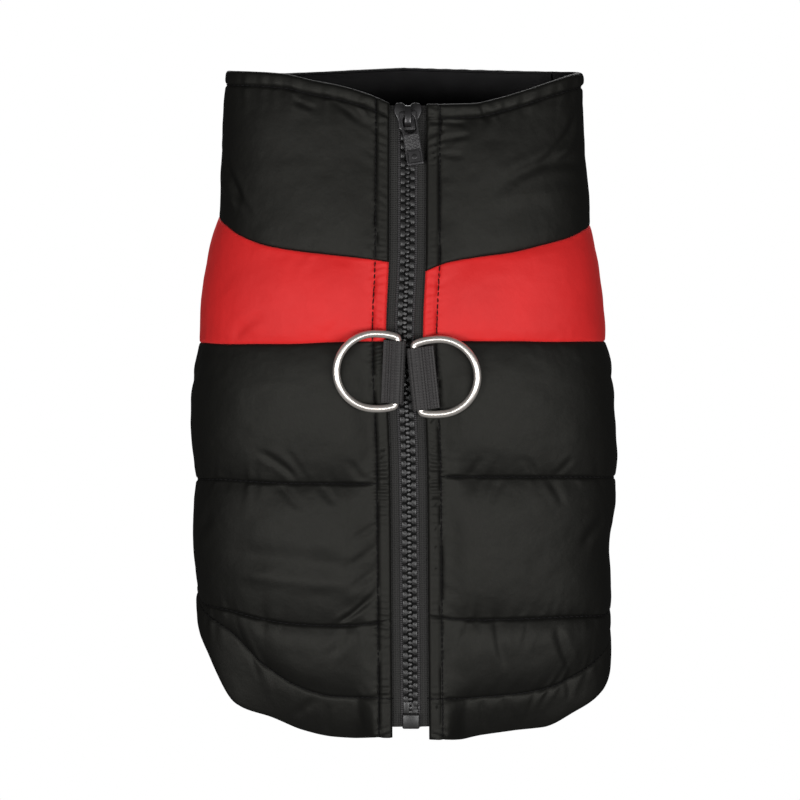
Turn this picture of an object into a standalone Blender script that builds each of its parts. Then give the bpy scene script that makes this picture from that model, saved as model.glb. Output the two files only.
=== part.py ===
"""Dog winter vest, hollow and filled out as it is when worn.

The back of the vest, with its zip and two lead rings, faces -Y; the belly faces +Y.
+Z points to the neck. Left and right are as seen from -Y. Sizes are in millimetres
and become metres in the meshes. "Reach" is the length of cloth from the zip's middle
line, and "share" is a place round the vest: 0 at the edge beside the zip, 1 at the
side, SIDE_SEAM at the side seam and 2 at the middle of the belly.
"""

import functools
import math
from collections import namedtuple

import bmesh
import bpy
import numpy as np
from mathutils import Matrix, Vector

MM = 0.001
LEFT, RIGHT = -1, 1
NAMES = {LEFT: "left", RIGHT: "right"}

# Cloth
WALL = 2.0                  # shell, wadding and lining, where they are sewn flat
GAP = 0.3                   # between neighbouring pieces
ROUNDNESS = 2.4             # superellipse power of a section: 2 is an ellipse
SIDE_SEAM = 1.25
BELLY = 2.0
NECK_HEM = 5.8
LINING = 1.0
LINING_TOP, LINING_DEPTH = 0.8, 30.0    # below the neck's edge
SMOOTH_ANGLE = math.radians(40)

# Zip
EDGE = 7.4                  # reach of the cloth's edge beside the zip
STRIP = 12.9                # reach of the topstitching beside the zip
STRIP_SHARE = 0.058         # the topstitching's share of the way to the side
RISE = 13.0                 # how far a quilted row takes to swell from a seam
CHAIN_WIDTH = 5.8
CHAIN_THICKNESS = 2.4
TAPE_THICKNESS = 1.0
TAPE_WIDTH = 13.0
TAPE_DEPTH = WALL + GAP     # below the outer face of the seams
CHAIN_TOP, CHAIN_BOTTOM = 112.4, -126.6
TAPE_TOP, TAPE_BOTTOM = 117.6, -132.8
BOX_SIZE = (CHAIN_WIDTH, 3.2, 6.2)
BOX_HEIGHT = -130.2
BOX_BEVEL = 0.5

# Slider and pull tab
SLIDER_HEIGHT = 113.0
PLATE = 1.3
PLATE_TOP = 0.2             # above the outer face of the seams
POST_WIDTH, POST_HEIGHT, POST_MIDDLE = 2.4, 4.0, 2.3
BRIDGE_WIDTH = 2.6
BRIDGE_WALL = 1.1
BRIDGE_INSIDE = 2.7
BRIDGE_HIGH, BRIDGE_LOW = 4.0, -4.4     # from the slider's middle
BRIDGE_FOOT = 0.4           # how deep it stands in the plate
BRIDGE_CORNER, BRIDGE_NOSE = 0.8, 1.6
PULL_LENGTH = 22.1
PULL_WIDTH = 6.8
PULL_THICKNESS = 1.4
PULL_BAR = 1.8
PULL_CORNER, SLOT_CORNER, WINDOW_CORNER = 1.2, 2.0, 0.5
PULL_LEAN = math.radians(8.5)
PULL_PIVOT = (114.2, 1.6)   # height, and distance outside the seams
SLOT = (4.9, 7.4)
WINDOW = (4.8, 4.5)
WINDOW_MIDDLE = 17.75        # below the pivot

# Lead rings and their webbing
WIRE = 3.0
RING_TALL = 33.0            # outside
RING_WIDE = 25.6            # outside, from the straight bar
RING_BAR = 27.2             # between the wire's middles at the corners
RING_WIDEST = 8.8           # from the bar to where the ring is tallest
RING_SQUARE, RING_ROUND = 2.6, 2.0      # superellipse powers at the bar and at the bow
RING_STEPS = 9
RING_LIFT = math.radians(6.0)
WEBBING_WIDTH = 25.0
WEBBING = 1.2
WEBBING_SEAM = 1.6          # where the loop's two layers are sewn together
BAR_OUT = GAP + WEBBING + GAP + WIRE / 2
RingPlace = namedtuple("RingPlace", "x height lean tail")
RING_PLACES = {
    LEFT: RingPlace(x=-3.0, height=11.6, lean=math.radians(2.5), tail=5.4),
    RIGHT: RingPlace(x=5.4, height=8.9, lean=math.radians(-6.0), tail=7.4),
}

# Leg holes, seen from the belly
LEG_X, LEG_HEIGHT = 44.0, 66.0
LEG_HALF_WIDTH, LEG_HALF_HEIGHT = 20.0, 25.0
BINDING_WIDTH = 4.0
BINDING_OUT, BINDING_IN = 2.2, 4.2
ROUND_STEPS = 32
CUTTER_DEPTH = 60.0

# Level sections of the vest, from the neck down
Section = namedtuple("Section", "height centre half_width front back")
SECTIONS = (
    Section(140, 0.6, 71.6, 26.5, 27),
    Section(119, -0.4, 72.2, 29, 32),
    Section(98, -0.2, 72.4, 32, 36),
    Section(78, 0.2, 74.2, 35.5, 39),
    Section(58, -0.6, 77.8, 38.5, 41),
    Section(37, -0.6, 80.8, 40.4, 42),
    Section(17, -0.6, 83.0, 41, 42),
    Section(-4, -0.6, 84.0, 41, 41.5),
    Section(-34, 0.8, 85.3, 40.6, 40),
    Section(-65, -1.0, 83.2, 40, 38.5),
    Section(-89, 0.0, 84.4, 39.4, 38),
    Section(-140, 0.5, 84.2, 38, 37),
)

# The zip's middle line bows a little
ZipPlace = namedtuple("ZipPlace", "height x")
ZIP_LINE = (
    ZipPlace(135, 1.6),
    ZipPlace(60, 1.4),
    ZipPlace(26, 0.2),
    ZipPlace(-30, 1.9),
    ZipPlace(-90, 2.4),
    ZipPlace(-140, 2.8),
)

# Heights of the seams and stitched lines at places round the vest
Lines = namedtuple("Lines", "share neck band_top band_low quilt_1 quilt_2 hem_stitch hem")
LINES = {
    LEFT: (
        Lines(0.00, 118.4, 55.2, 23.6, -33.3, -88.8, -121.0, -137.0),
        Lines(0.10, 121.9, 56.5, 23.5, -33.8, -90.6, -120.5, -137.0),
        Lines(0.25, 125.4, 57.9, 23.0, -33.8, -91.4, -120.0, -136.6),
        Lines(0.40, 127.6, 59.3, 22.2, -34.0, -91.0, -116.3, -134.1),
        Lines(0.55, 130.1, 61.2, 21.9, -33.8, -89.3, -107.8, -128.6),
        Lines(0.70, 130.8, 64.8, 21.3, -33.6, -86.8, -95.4, -123.0),
        Lines(0.85, 131.0, 69.3, 21.0, -34.6, -85.8, -89.2, -103.0),
        Lines(1.00, 131.0, 71.8, 20.2, -35.9, -79.0, -82.4, -92.0),
        Lines(1.25, 129.6, 73.4, 20.0, -36.0, -52.0, -55.4, -68.0),
        Lines(2.00, 132.0, 73.0, 20.0, -36.0, -43.0, -46.0, -58.0),
    ),
    RIGHT: (
        Lines(0.00, 118.0, 51.6, 23.6, -30.9, -87.2, -121.0, -137.8),
        Lines(0.10, 118.1, 55.0, 23.7, -30.9, -88.5, -121.0, -137.9),
        Lines(0.25, 118.4, 57.2, 23.5, -31.1, -89.0, -120.2, -135.8),
        Lines(0.40, 120.7, 58.8, 23.3, -31.4, -89.0, -119.4, -134.3),
        Lines(0.55, 123.8, 61.4, 22.7, -31.8, -89.0, -117.0, -132.9),
        Lines(0.70, 127.0, 63.9, 22.3, -32.6, -89.4, -111.4, -125.9),
        Lines(0.85, 129.4, 66.8, 21.6, -33.8, -90.4, -105.1, -119.7),
        Lines(1.00, 130.2, 68.4, 20.7, -35.2, -88.4, -96.4, -110.5),
        Lines(1.25, 130.4, 70.6, 20.0, -36.0, -59.0, -62.6, -76.5),
        Lines(2.00, 132.0, 73.0, 20.0, -36.0, -43.0, -46.0, -58.0),
    ),
}

# How far each quilted row swells at its middle
YOKE_SWELL, BAND_SWELL, ROW_SWELL, LOW_SWELL, HEM_SWELL = 2.2, 2.2, 3.6, 2.6, 1.1
NECK_SWELL = 0.6
STITCH_SINK = 0.4
EDGE_SINK = 0.5             # a turned edge, below the seams' face
FULL_ROW = 24.0             # a lower row swells less
UNEVEN = 0.10
SIDE_PRESS, SIDE_SPAN = 0.65, 0.3       # how much less it swells at the sides
CREASE_LIMIT = 0.7          # part of the swell that a crease may take away
PILLOW = ((0.14, 0.62), (0.5, 1.0), (0.86, 0.62))

# The largest creases: from one place to another, and how wide and deep
Fold = namedtuple("Fold", "reach_1 height_1 reach_2 height_2 width depth")
FOLDS = {
    LEFT: (
        Fold(70, 92, 64, 79, 3.5, 1.8),
        Fold(17, -77, 30, -88, 4.0, 1.8),
        Fold(42, -64, 74, -63, 5.0, 1.2),
        Fold(50, -25, 58, -32, 4.0, 1.2),
        Fold(28, 118, 14, 108, 4.0, 1.0),
        Fold(34, -122, 33, -131, 4.0, 1.0),
        Fold(68, 34, 58, 27, 4.0, 0.9),
    ),
    RIGHT: (
        Fold(42, 88, 70, 92, 4.0, 1.6),
        Fold(56, 95, 69, 110, 4.0, 1.5),
        Fold(34, -88, 38, -103, 4.0, 1.2),
        Fold(60, -96, 66, -109, 4.0, 1.2),
        Fold(28, -122, 31, -130, 4.0, 1.0),
        Fold(40, -122, 44, -131, 4.0, 1.0),
        Fold(46, 118, 60, 108, 4.0, 0.9),
    ),
}

# Columns of cloth across a panel, and gathers of the elastic neck
BODY_COLUMNS, YOKE_COLUMNS, BAND_COLUMNS, BELLY_COLUMNS, LINING_COLUMNS = 25, 30, 22, 24, 20
GATHERS = 8.0               # waves in a unit of share
GATHER_DEPTH = 0.5

# Finish: colour, roughness and metallic value
Finish = namedtuple("Finish", "colour roughness metallic")
BLACK_NYLON = Finish((0.012, 0.012, 0.012), 0.5, 0.0)
RED_NYLON = Finish((0.68, 0.035, 0.035), 0.5, 0.0)
LINING_CLOTH = Finish((0.012, 0.010, 0.016), 0.55, 0.0)
BLACK_TAPE = Finish((0.010, 0.010, 0.010), 0.85, 0.0)
BLACK_MOULDED = Finish((0.014, 0.014, 0.014), 0.42, 0.0)
BLACK_LACQUER = Finish((0.02, 0.02, 0.02), 0.38, 0.6)
STEEL = Finish((0.72, 0.72, 0.72), 0.2, 1.0)


# ---------------------------------------------------------------- helpers

class Curve:
    """A smooth curve through (place, value) pairs that never overshoots them."""

    def __init__(self, pairs):
        pairs = sorted(pairs)
        self.places = [pair[0] for pair in pairs]
        self.values = [pair[1] for pair in pairs]
        self.slopes = [0.0] * len(pairs)
        grades = [
            (self.values[i + 1] - self.values[i]) / (self.places[i + 1] - self.places[i])
            for i in range(len(pairs) - 1)
        ]
        for i in range(1, len(pairs) - 1):
            before, after = grades[i - 1], grades[i]
            if before * after > 0:
                self.slopes[i] = 2 * before * after / (before + after)
        self.slopes[0], self.slopes[-1] = grades[0], grades[-1]

    def __call__(self, place):
        place = min(max(place, self.places[0]), self.places[-1])
        i = 0
        while i < len(self.places) - 2 and place > self.places[i + 1]:
            i += 1
        width = self.places[i + 1] - self.places[i]
        t = (place - self.places[i]) / width
        start = self.values[i] * (1 + 2 * t) * (1 - t) ** 2
        leave = self.slopes[i] * width * t * (1 - t) ** 2
        end = self.values[i + 1] * t * t * (3 - 2 * t)
        arrive = self.slopes[i + 1] * width * t * t * (t - 1)
        return start + leave + end + arrive


def ease(value):
    """Smooth step from 0 to 1."""
    value = min(max(value, 0.0), 1.0)
    return value * value * (3 - 2 * value)


SECTION_CURVES = {
    field: Curve([(row.height, getattr(row, field)) for row in SECTIONS])
    for field in Section._fields[1:]
}
ZIP_X = Curve([(row.height, row.x) for row in ZIP_LINE])
LINE_CURVES = {
    side: {
        field: Curve([(row.share, getattr(row, field)) for row in rows])
        for field in Lines._fields[1:]
    }
    for side, rows in LINES.items()
}


# ---------------------------------------------------------------- the vest's surface

PATH_STEPS = 360


@functools.lru_cache(maxsize=4096)
def section_path(height):
    """Points round the section at a height, with their distance from the zip's line."""
    size = {field: curve(height) for field, curve in SECTION_CURVES.items()}
    turn = np.linspace(-math.pi, math.pi, PATH_STEPS + 1)
    power = 2 / ROUNDNESS
    across = np.sign(np.sin(turn)) * np.abs(np.sin(turn)) ** power
    along = np.sign(np.cos(turn)) * np.abs(np.cos(turn)) ** power
    x = size["centre"] + size["half_width"] * across
    y = -along * np.where(along > 0, size["front"], size["back"])
    steps = np.hypot(np.diff(x), np.diff(y))
    distance = np.concatenate([[0.0], np.cumsum(steps)])
    front = slice(PATH_STEPS // 4, 3 * PATH_STEPS // 4 + 1)
    distance -= np.interp(ZIP_X(height), x[front], distance[front])
    return x, y, distance


def reach_at(side, share, height):
    """Reach at a share of the way round, on one side of the zip."""
    distance = section_path(height)[2]
    quarter = 3 * PATH_STEPS // 4 if side == RIGHT else PATH_STEPS // 4
    side_reach = abs(distance[quarter])
    back_reach = abs(distance[-1 if side == RIGHT else 0])
    if share <= 1:
        return EDGE + share * (side_reach - EDGE)
    return side_reach + (share - 1) * (back_reach - side_reach)


def seam_point(side, reach, height):
    """Point on the outer face of the seams."""
    x, y, distance = section_path(round(height, 3))
    place = side * reach
    return Vector((np.interp(place, distance, x), np.interp(place, distance, y), height))


def outward(side, reach, height):
    """Unit normal of the vest at a place, pointing out of it."""
    step = 1.0
    across = seam_point(side, reach + step, height) - seam_point(side, reach - step, height)
    up = seam_point(side, reach, height + step) - seam_point(side, reach, height - step)
    normal = across.cross(up)
    if side == LEFT:
        normal.negate()
    return normal.normalized()


def vest_point(side, reach, height, out):
    """Point at a distance outside the seams' outer face."""
    return seam_point(side, reach, height) + outward(side, reach, height) * out


# ---------------------------------------------------------------- objects

def clear_scene():
    for item in list(bpy.data.objects):
        bpy.data.objects.remove(item, do_unlink=True)


def make_collection(name):
    collection = bpy.data.collections.new(name)
    bpy.context.scene.collection.children.link(collection)
    return collection


def make_material(name, finish):
    material = bpy.data.materials.new(name)
    material.use_nodes = True
    shader = material.node_tree.nodes["Principled BSDF"]
    shader.inputs["Base Color"].default_value = (*finish.colour, 1.0)
    shader.inputs["Roughness"].default_value = finish.roughness
    shader.inputs["Metallic"].default_value = finish.metallic
    return material


def add_object(name, data, collection, finish, parent=None):
    """Link a new object that has its own material."""
    item = bpy.data.objects.new(name, data)
    collection.objects.link(item)
    item.parent = parent
    if finish:
        data.materials.append(make_material(name, finish))
    return item


def add_empty(name, matrix, collection):
    empty = bpy.data.objects.new(name, None)
    empty.empty_display_size = 0.005
    empty.matrix_world = matrix
    collection.objects.link(empty)
    return empty


def shade_round(mesh):
    mesh.shade_smooth()
    mesh.set_sharp_from_angle(angle=SMOOTH_ANGLE)


def wall_mesh(name, outer, inner, closed=False):
    """Closed wall between two grids of points; closed joins its first and last columns."""
    mesh = bpy.data.meshes.new(name)
    form = bmesh.new()
    faces = [[[form.verts.new(point * MM) for point in row] for row in grid]
             for grid in (outer, inner)]
    rows, columns = len(outer), len(outer[0])
    last = columns if closed else columns - 1
    for i in range(rows - 1):
        for j in range(last):
            k = (j + 1) % columns
            for grid in faces:
                form.faces.new((grid[i][j], grid[i][k], grid[i + 1][k], grid[i + 1][j]))
    top_and_bottom = [(i, j, i, (j + 1) % columns) for i in (0, rows - 1) for j in range(last)]
    ends = [] if closed else [(i, j, i + 1, j) for j in (0, columns - 1) for i in range(rows - 1)]
    for i, j, m, n in top_and_bottom + ends:
        form.faces.new((faces[0][i][j], faces[0][m][n], faces[1][m][n], faces[1][i][j]))
    bmesh.ops.triangulate(form, faces=form.faces[:])
    bmesh.ops.recalc_face_normals(form, faces=form.faces[:])
    form.to_mesh(mesh)
    form.free()
    shade_round(mesh)
    return mesh


# ---------------------------------------------------------------- cloth panels

Row = namedtuple("Row", "upper lower way swell drop")


def row(upper, lower=None, way=0.0, swell=0.0, drop=0.0):
    """A row of a panel: its height lies part of the way between two lines."""
    return Row(upper, lower or upper, way, swell, drop)


def pillow_rows(upper, lower, swell, drop=0.0):
    """Rows over one swelling quilted row, without the lines that bound it."""
    return [row(upper, lower, way, swell * part, drop * (1 - way)) for way, part in PILLOW]


def line_height(side, share, spec):
    lines = LINE_CURVES[side]
    upper = lines[spec.upper](share)
    lower = lines[spec.lower](share)
    return upper + (lower - upper) * spec.way - spec.drop


def crease_depth(side, reach, height):
    """Depth of the creases at a place."""
    depth = 0.0
    for fold in FOLDS[side]:
        run = Vector((fold.reach_2 - fold.reach_1, fold.height_2 - fold.height_1))
        here = Vector((reach - fold.reach_1, height - fold.height_1))
        part = min(max(here.dot(run) / run.length_squared, 0.0), 1.0)
        away = (here - run * part).length
        depth += fold.depth * math.exp(-((away / fold.width) ** 2))
    return depth


def swell_at(side, share, reach, height, spec):
    """Outward swell of the wadding, flat beside the zip and at the side seam."""
    if spec.swell <= 0:
        return spec.swell
    lines = LINE_CURVES[side]
    row_height = lines[spec.upper](share) - lines[spec.lower](share)
    room = min(1.0, row_height / FULL_ROW) if row_height else 1.0
    swell = spec.swell * room
    uneven = 1 + UNEVEN * math.sin(7 * share + height / 23 + side)
    beside_zip = ease((reach - STRIP) / RISE)
    seam_reach = reach_at(side, SIDE_SEAM, height)
    beside_seam = ease(abs(reach - seam_reach) / RISE)
    pressed = 1 - SIDE_PRESS * math.exp(-(((share - 1) / SIDE_SPAN) ** 2))
    return swell * uneven * beside_zip * beside_seam * pressed


def gather_at(side, share):
    """Small waves of the elastic neck, which start away from the zip."""
    return GATHER_DEPTH * ease(3 * share - 0.4) * math.sin(2 * math.pi * GATHERS * share + side)


def panel_mesh(name, columns, rows, beyond_seam, gathered_rows=0, wall=WALL, base=0.0):
    """Wall of cloth over (side, share) columns, with half a gap taken off each seam.

    beyond_seam is 1 for a piece on the belly's side of the side seam, and -1 for one
    on the zip's side.
    """
    outer, inner = [], []
    for i, spec in enumerate(rows):
        trim = {0: -GAP / 2, len(rows) - 1: GAP / 2}.get(i, 0.0)
        outer_row, inner_row = [], []
        for side, share in columns:
            height = line_height(side, share, spec) + trim
            reach = reach_at(side, share, round(height, 3))
            if share == SIDE_SEAM:
                reach += beyond_seam * GAP / 2
            out = base + swell_at(side, share, reach, height, spec)
            if spec.swell > 0:
                out -= min(crease_depth(side, reach, height), CREASE_LIMIT * out)
            if i < gathered_rows:
                out += gather_at(side, share)
            outer_row.append(vest_point(side, reach, height, out))
            inner_row.append(vest_point(side, reach, height, base - wall))
        outer.append(outer_row)
        inner.append(inner_row)
    return wall_mesh(name, outer, inner)


def side_columns(side, count):
    """Columns from the zip to the side seam, closer together beside the zip."""
    step = (SIDE_SEAM - STRIP_SHARE) / (count - 2)
    shares = [0.0] + [STRIP_SHARE + step * i for i in range(count - 2)] + [SIDE_SEAM]
    return [(side, share) for share in shares]


def belly_columns(count):
    """Columns from the left side seam across the belly to the right one."""
    half = [SIDE_SEAM + (BELLY - SIDE_SEAM) * i / (count // 2) for i in range(count // 2 + 1)]
    return [(LEFT, share) for share in half] + [(RIGHT, share) for share in reversed(half[:-1])]


def neck_rows():
    """The turned neck hem, from its edge to its stitching."""
    return [
        row("neck", swell=-EDGE_SINK),
        row("neck", drop=NECK_HEM / 2, swell=NECK_SWELL),
        row("neck", drop=NECK_HEM, swell=-STITCH_SINK),
    ]


def hem_rows():
    """The turned hem, from below its stitching to its edge."""
    return [row("hem_stitch", "hem", 0.5, HEM_SWELL), row("hem", swell=-EDGE_SINK)]


def yoke_rows():
    return neck_rows() + pillow_rows("neck", "band_top", YOKE_SWELL, NECK_HEM) + [row("band_top")]


def band_rows():
    return [row("band_top")] + pillow_rows("band_top", "band_low", BAND_SWELL) + [row("band_low")]


def body_rows():
    rows = [row("band_low")]
    rows += pillow_rows("band_low", "quilt_1", ROW_SWELL) + [row("quilt_1", swell=-STITCH_SINK)]
    rows += pillow_rows("quilt_1", "quilt_2", ROW_SWELL) + [row("quilt_2", swell=-STITCH_SINK)]
    rows += pillow_rows("quilt_2", "hem_stitch", LOW_SWELL)
    return rows + [row("hem_stitch", swell=-STITCH_SINK)] + hem_rows()


def belly_rows():
    """Rows of the belly, level with the rows of the pieces beside it."""
    rows = yoke_rows()[:-1] + [row("band_top", swell=-STITCH_SINK)]
    rows += pillow_rows("band_top", "band_low", ROW_SWELL) + [row("band_low", swell=-STITCH_SINK)]
    rows += pillow_rows("band_low", "quilt_1", ROW_SWELL) + [row("quilt_1", swell=-STITCH_SINK)]
    return rows + [row("hem_stitch", swell=-STITCH_SINK)] + hem_rows()


def lining_rows():
    """The lining that shows inside the neck, below the turned edge."""
    return [row("neck", drop=LINING_TOP + LINING_DEPTH * i / 3) for i in range(4)]


def make_panels(vest):
    for side in (LEFT, RIGHT):
        for piece, rows, count, finish in (
            ("shoulder", yoke_rows(), YOKE_COLUMNS, BLACK_NYLON),
            ("band", band_rows(), BAND_COLUMNS, RED_NYLON),
            ("body", body_rows(), BODY_COLUMNS, BLACK_NYLON),
        ):
            name = f"{piece}_{NAMES[side]}"
            gathered = 2 if piece == "shoulder" else 0
            mesh = panel_mesh(name, side_columns(side, count), rows, -1, gathered)
            add_object(name, mesh, vest, finish)
    mesh = panel_mesh("neck_lining", belly_columns(LINING_COLUMNS), lining_rows(), 1,
                      wall=LINING, base=-WALL - GAP)
    add_object("neck_lining", mesh, vest, LINING_CLOTH)


# ---------------------------------------------------------------- belly and leg holes

def make_leg_cutter(side, cutters):
    """Oval cutter along Y through the belly."""
    bpy.ops.mesh.primitive_cylinder_add(vertices=ROUND_STEPS, radius=1, depth=CUTTER_DEPTH * MM)
    cutter = bpy.context.object
    cutter.name = f"leg_cutter_{NAMES[side]}"
    place = Matrix.Translation(Vector((side * LEG_X, SECTIONS[0].back, LEG_HEIGHT)) * MM)
    oval = Matrix.Diagonal((LEG_HALF_WIDTH * MM, 1, LEG_HALF_HEIGHT * MM, 1))
    cutter.data.transform(place @ oval @ Matrix.Rotation(math.pi / 2, 4, "X"))
    for collection in list(cutter.users_collection):
        collection.objects.unlink(cutter)
    cutters.objects.link(cutter)
    cutter.hide_render = True
    cutter.display_type = "WIRE"
    return cutter


def make_belly(vest, cutters):
    mesh = panel_mesh("belly", belly_columns(BELLY_COLUMNS), belly_rows(), 1, gathered_rows=2)
    belly = add_object("belly", mesh, vest, BLACK_NYLON)
    for side in (LEFT, RIGHT):
        hole = belly.modifiers.new(f"leg_hole_{NAMES[side]}", "BOOLEAN")
        hole.object = make_leg_cutter(side, cutters)


def belly_y(x, height):
    """Y of the seams' outer face on the belly side."""
    path_x, path_y, _ = section_path(round(height, 3))
    back = path_y > 0
    right = np.where(back & (path_x >= 0))[0]
    left = np.where(back & (path_x < 0))[0]
    half = right if x >= 0 else left
    order = half[np.argsort(path_x[half])]
    return float(np.interp(x, path_x[order], path_y[order]))


def binding_point(side, turn, inset, out):
    """Point of a leg hole's binding, inset from the cut edge and out along Y."""
    x = side * LEG_X + (LEG_HALF_WIDTH - inset) * math.cos(turn)
    height = LEG_HEIGHT + (LEG_HALF_HEIGHT - inset) * math.sin(turn)
    return Vector((x, belly_y(x, height) + out, height))


def make_bindings(vest):
    """Elastic binding round each leg hole, inside its cut edge."""
    turns = [2 * math.pi * i / ROUND_STEPS for i in range(ROUND_STEPS)]
    near, far = 2 * GAP, 2 * GAP + BINDING_WIDTH
    for side in (LEFT, RIGHT):
        outer = [[binding_point(side, turn, near, out) for turn in turns]
                 for out in (BINDING_OUT, -BINDING_IN)]
        inner = [[binding_point(side, turn, far, out) for turn in turns]
                 for out in (BINDING_OUT, -BINDING_IN)]
        name = f"leg_binding_{NAMES[side]}"
        add_object(name, wall_mesh(name, outer, inner, closed=True), vest, BLACK_TAPE)


# ---------------------------------------------------------------- zip

def strip_mesh(name, side, reach_1, reach_2, low, high, out, thickness, steps=14):
    """Flat strip along the zip, between two reaches."""
    heights = [low + (high - low) * i / steps for i in range(steps + 1)]
    outer = [[vest_point(side, reach, height, out) for reach in (reach_1, reach_2)]
             for height in heights]
    inner = [[vest_point(side, reach, height, out - thickness) for reach in (reach_1, reach_2)]
             for height in heights]
    return wall_mesh(name, outer, inner)


def make_zip(vest):
    half_chain = CHAIN_WIDTH / 2
    for side in (LEFT, RIGHT):
        name = f"zip_tape_{NAMES[side]}"
        mesh = strip_mesh(name, side, half_chain + GAP, TAPE_WIDTH, TAPE_BOTTOM, TAPE_TOP,
                          -TAPE_DEPTH, TAPE_THICKNESS)
        add_object(name, mesh, vest, BLACK_TAPE)
    chain_out = (CHAIN_THICKNESS - TAPE_THICKNESS) / 2 - TAPE_DEPTH
    mesh = strip_mesh("zip_chain", RIGHT, -half_chain, half_chain, CHAIN_BOTTOM, CHAIN_TOP,
                      chain_out, CHAIN_THICKNESS)
    add_object("zip_chain", mesh, vest, BLACK_MOULDED)


def zip_frame(height):
    """Frame on the zip's line: +X right, +Y into the vest, +Z up along the cloth."""
    inward = -outward(RIGHT, 0.0, height)
    along = Vector((1, 0, 0))
    up = along.cross(inward).normalized()
    place = seam_point(RIGHT, 0.0, height) * MM
    return Matrix.Translation(place) @ Matrix((along, inward, up)).transposed().to_4x4()


def block_mesh(name, size, middle=(0, 0, 0)):
    """Box round a point."""
    mesh = bpy.data.meshes.new(name)
    form = bmesh.new()
    bmesh.ops.create_cube(form, size=1)
    place = Matrix.Translation(Vector(middle) * MM)
    bmesh.ops.transform(form, matrix=place @ Matrix.Diagonal((*[s * MM for s in size], 1)),
                        verts=form.verts[:])
    form.to_mesh(mesh)
    form.free()
    return mesh


def make_zip_box(vest):
    """Retainer at the zip's lower end."""
    middle = -(TAPE_DEPTH + TAPE_THICKNESS / 2)
    frame = zip_frame(BOX_HEIGHT)
    mesh = block_mesh("zip_box", BOX_SIZE, (0, -middle, 0))
    box = add_object("zip_box", mesh, vest, BLACK_MOULDED)
    box.matrix_world = frame
    bevel = box.modifiers.new("edges", "BEVEL")
    bevel.width = BOX_BEVEL * MM
    bevel.segments = 2


def outline_mesh(name, outlines, depth, matrix):
    """Flat outlines, the first solid and the others cut out, made thick and a mesh."""
    curve = bpy.data.curves.new(name, "CURVE")
    curve.dimensions = "2D"
    curve.fill_mode = "BOTH"
    curve.extrude = depth / 2 * MM
    for points in outlines:
        spline = curve.splines.new("POLY")
        spline.points.add(len(points) - 1)
        for point, (x, y) in zip(spline.points, points):
            point.co = (x * MM, y * MM, 0, 1)
        spline.use_cyclic_u = True
    flat = bpy.data.objects.new(name, curve)
    bpy.context.scene.collection.objects.link(flat)
    graph = bpy.context.evaluated_depsgraph_get()
    mesh = bpy.data.meshes.new_from_object(flat.evaluated_get(graph))
    bpy.data.objects.remove(flat)
    form = bmesh.new()
    form.from_mesh(mesh)
    bmesh.ops.remove_doubles(form, verts=form.verts[:], dist=0.00001)
    bmesh.ops.triangulate(form, faces=form.faces[:])
    bmesh.ops.transform(form, matrix=matrix, verts=form.verts[:])
    bmesh.ops.recalc_face_normals(form, faces=form.faces[:])
    form.to_mesh(mesh)
    form.free()
    return mesh


def rounded_box(width, height, middle, corner, steps=4):
    """Outline of a rectangle with round corners."""
    points = []
    for quarter in range(4):
        sign_x = (1, -1, -1, 1)[quarter]
        sign_y = (1, 1, -1, -1)[quarter]
        for i in range(steps + 1):
            turn = math.pi / 2 * (quarter + i / steps)
            points.append((
                middle[0] + sign_x * (width / 2 - corner) + corner * math.cos(turn),
                middle[1] + sign_y * (height / 2 - corner) + corner * math.sin(turn),
            ))
    return points


SHIELD = ((0, 4.7), (2.2, 5.5), (4.6, 5.4), (5.8, 3.2), (5.2, 0.6), (3.9, -2.2), (3.6, -5.7))
UPRIGHT = Matrix.Rotation(math.pi / 2, 4, "X")      # outline XY to the frame's XZ


def union(item, piece):
    join = item.modifiers.new(piece.name, "BOOLEAN")
    join.operation = "UNION"
    join.object = piece
    piece.hide_render = True
    piece.display_type = "WIRE"


def make_slider(vest, cutters):
    """Slider: two plates, a post between them, and a bridge for the pull tab."""
    seat = add_empty("slider_seat", zip_frame(SLIDER_HEIGHT), vest)
    shield = list(SHIELD) + [(-x, y) for x, y in reversed(SHIELD[1:])]
    chain_middle = TAPE_DEPTH + TAPE_THICKNESS / 2
    top_middle = -PLATE_TOP + PLATE / 2
    low_middle = 2 * chain_middle - top_middle
    plates = {}
    for name, depth in (("zip_slider", top_middle), ("slider_low_plate", low_middle)):
        place = Matrix.Translation((0, depth * MM, 0)) @ UPRIGHT
        plates[name] = outline_mesh(name, [shield], PLATE, place)
    slider = add_object("zip_slider", plates["zip_slider"], vest, BLACK_LACQUER, seat)
    low = add_object("slider_low_plate", plates["slider_low_plate"], cutters, None, seat)
    post_size = (POST_WIDTH, low_middle - top_middle, POST_HEIGHT)
    post_mesh = block_mesh("slider_post", post_size, (0, chain_middle, POST_MIDDLE))
    post = add_object("slider_post", post_mesh, cutters, None, seat)
    bridge = add_object("slider_bridge", bridge_mesh(), cutters, None, seat)
    for piece in (low, post, bridge):
        union(slider, piece)


def bridge_mesh():
    """Arch over the top plate: an outline in height and distance out, made thick in X."""
    foot = PLATE_TOP - BRIDGE_FOOT
    inside = PLATE_TOP + BRIDGE_INSIDE
    roof = inside + BRIDGE_WALL
    high, low = BRIDGE_HIGH, BRIDGE_LOW
    low_inside = low + BRIDGE_WALL
    outline = [(high, foot), (high, roof - BRIDGE_CORNER), (high - BRIDGE_CORNER, roof),
               (low + BRIDGE_NOSE, roof), (low, roof - BRIDGE_NOSE), (low, foot),
               (low_inside, foot), (low_inside, inside - BRIDGE_CORNER),
               (low_inside + BRIDGE_CORNER, inside), (high - BRIDGE_WALL, inside),
               (high - BRIDGE_WALL, foot)]
    to_frame = Matrix(((0, 0, 1, 0), (0, -1, 0, 0), (1, 0, 0, 0), (0, 0, 0, 1)))
    return outline_mesh("slider_bridge", [outline], BRIDGE_WIDTH, to_frame)


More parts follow.
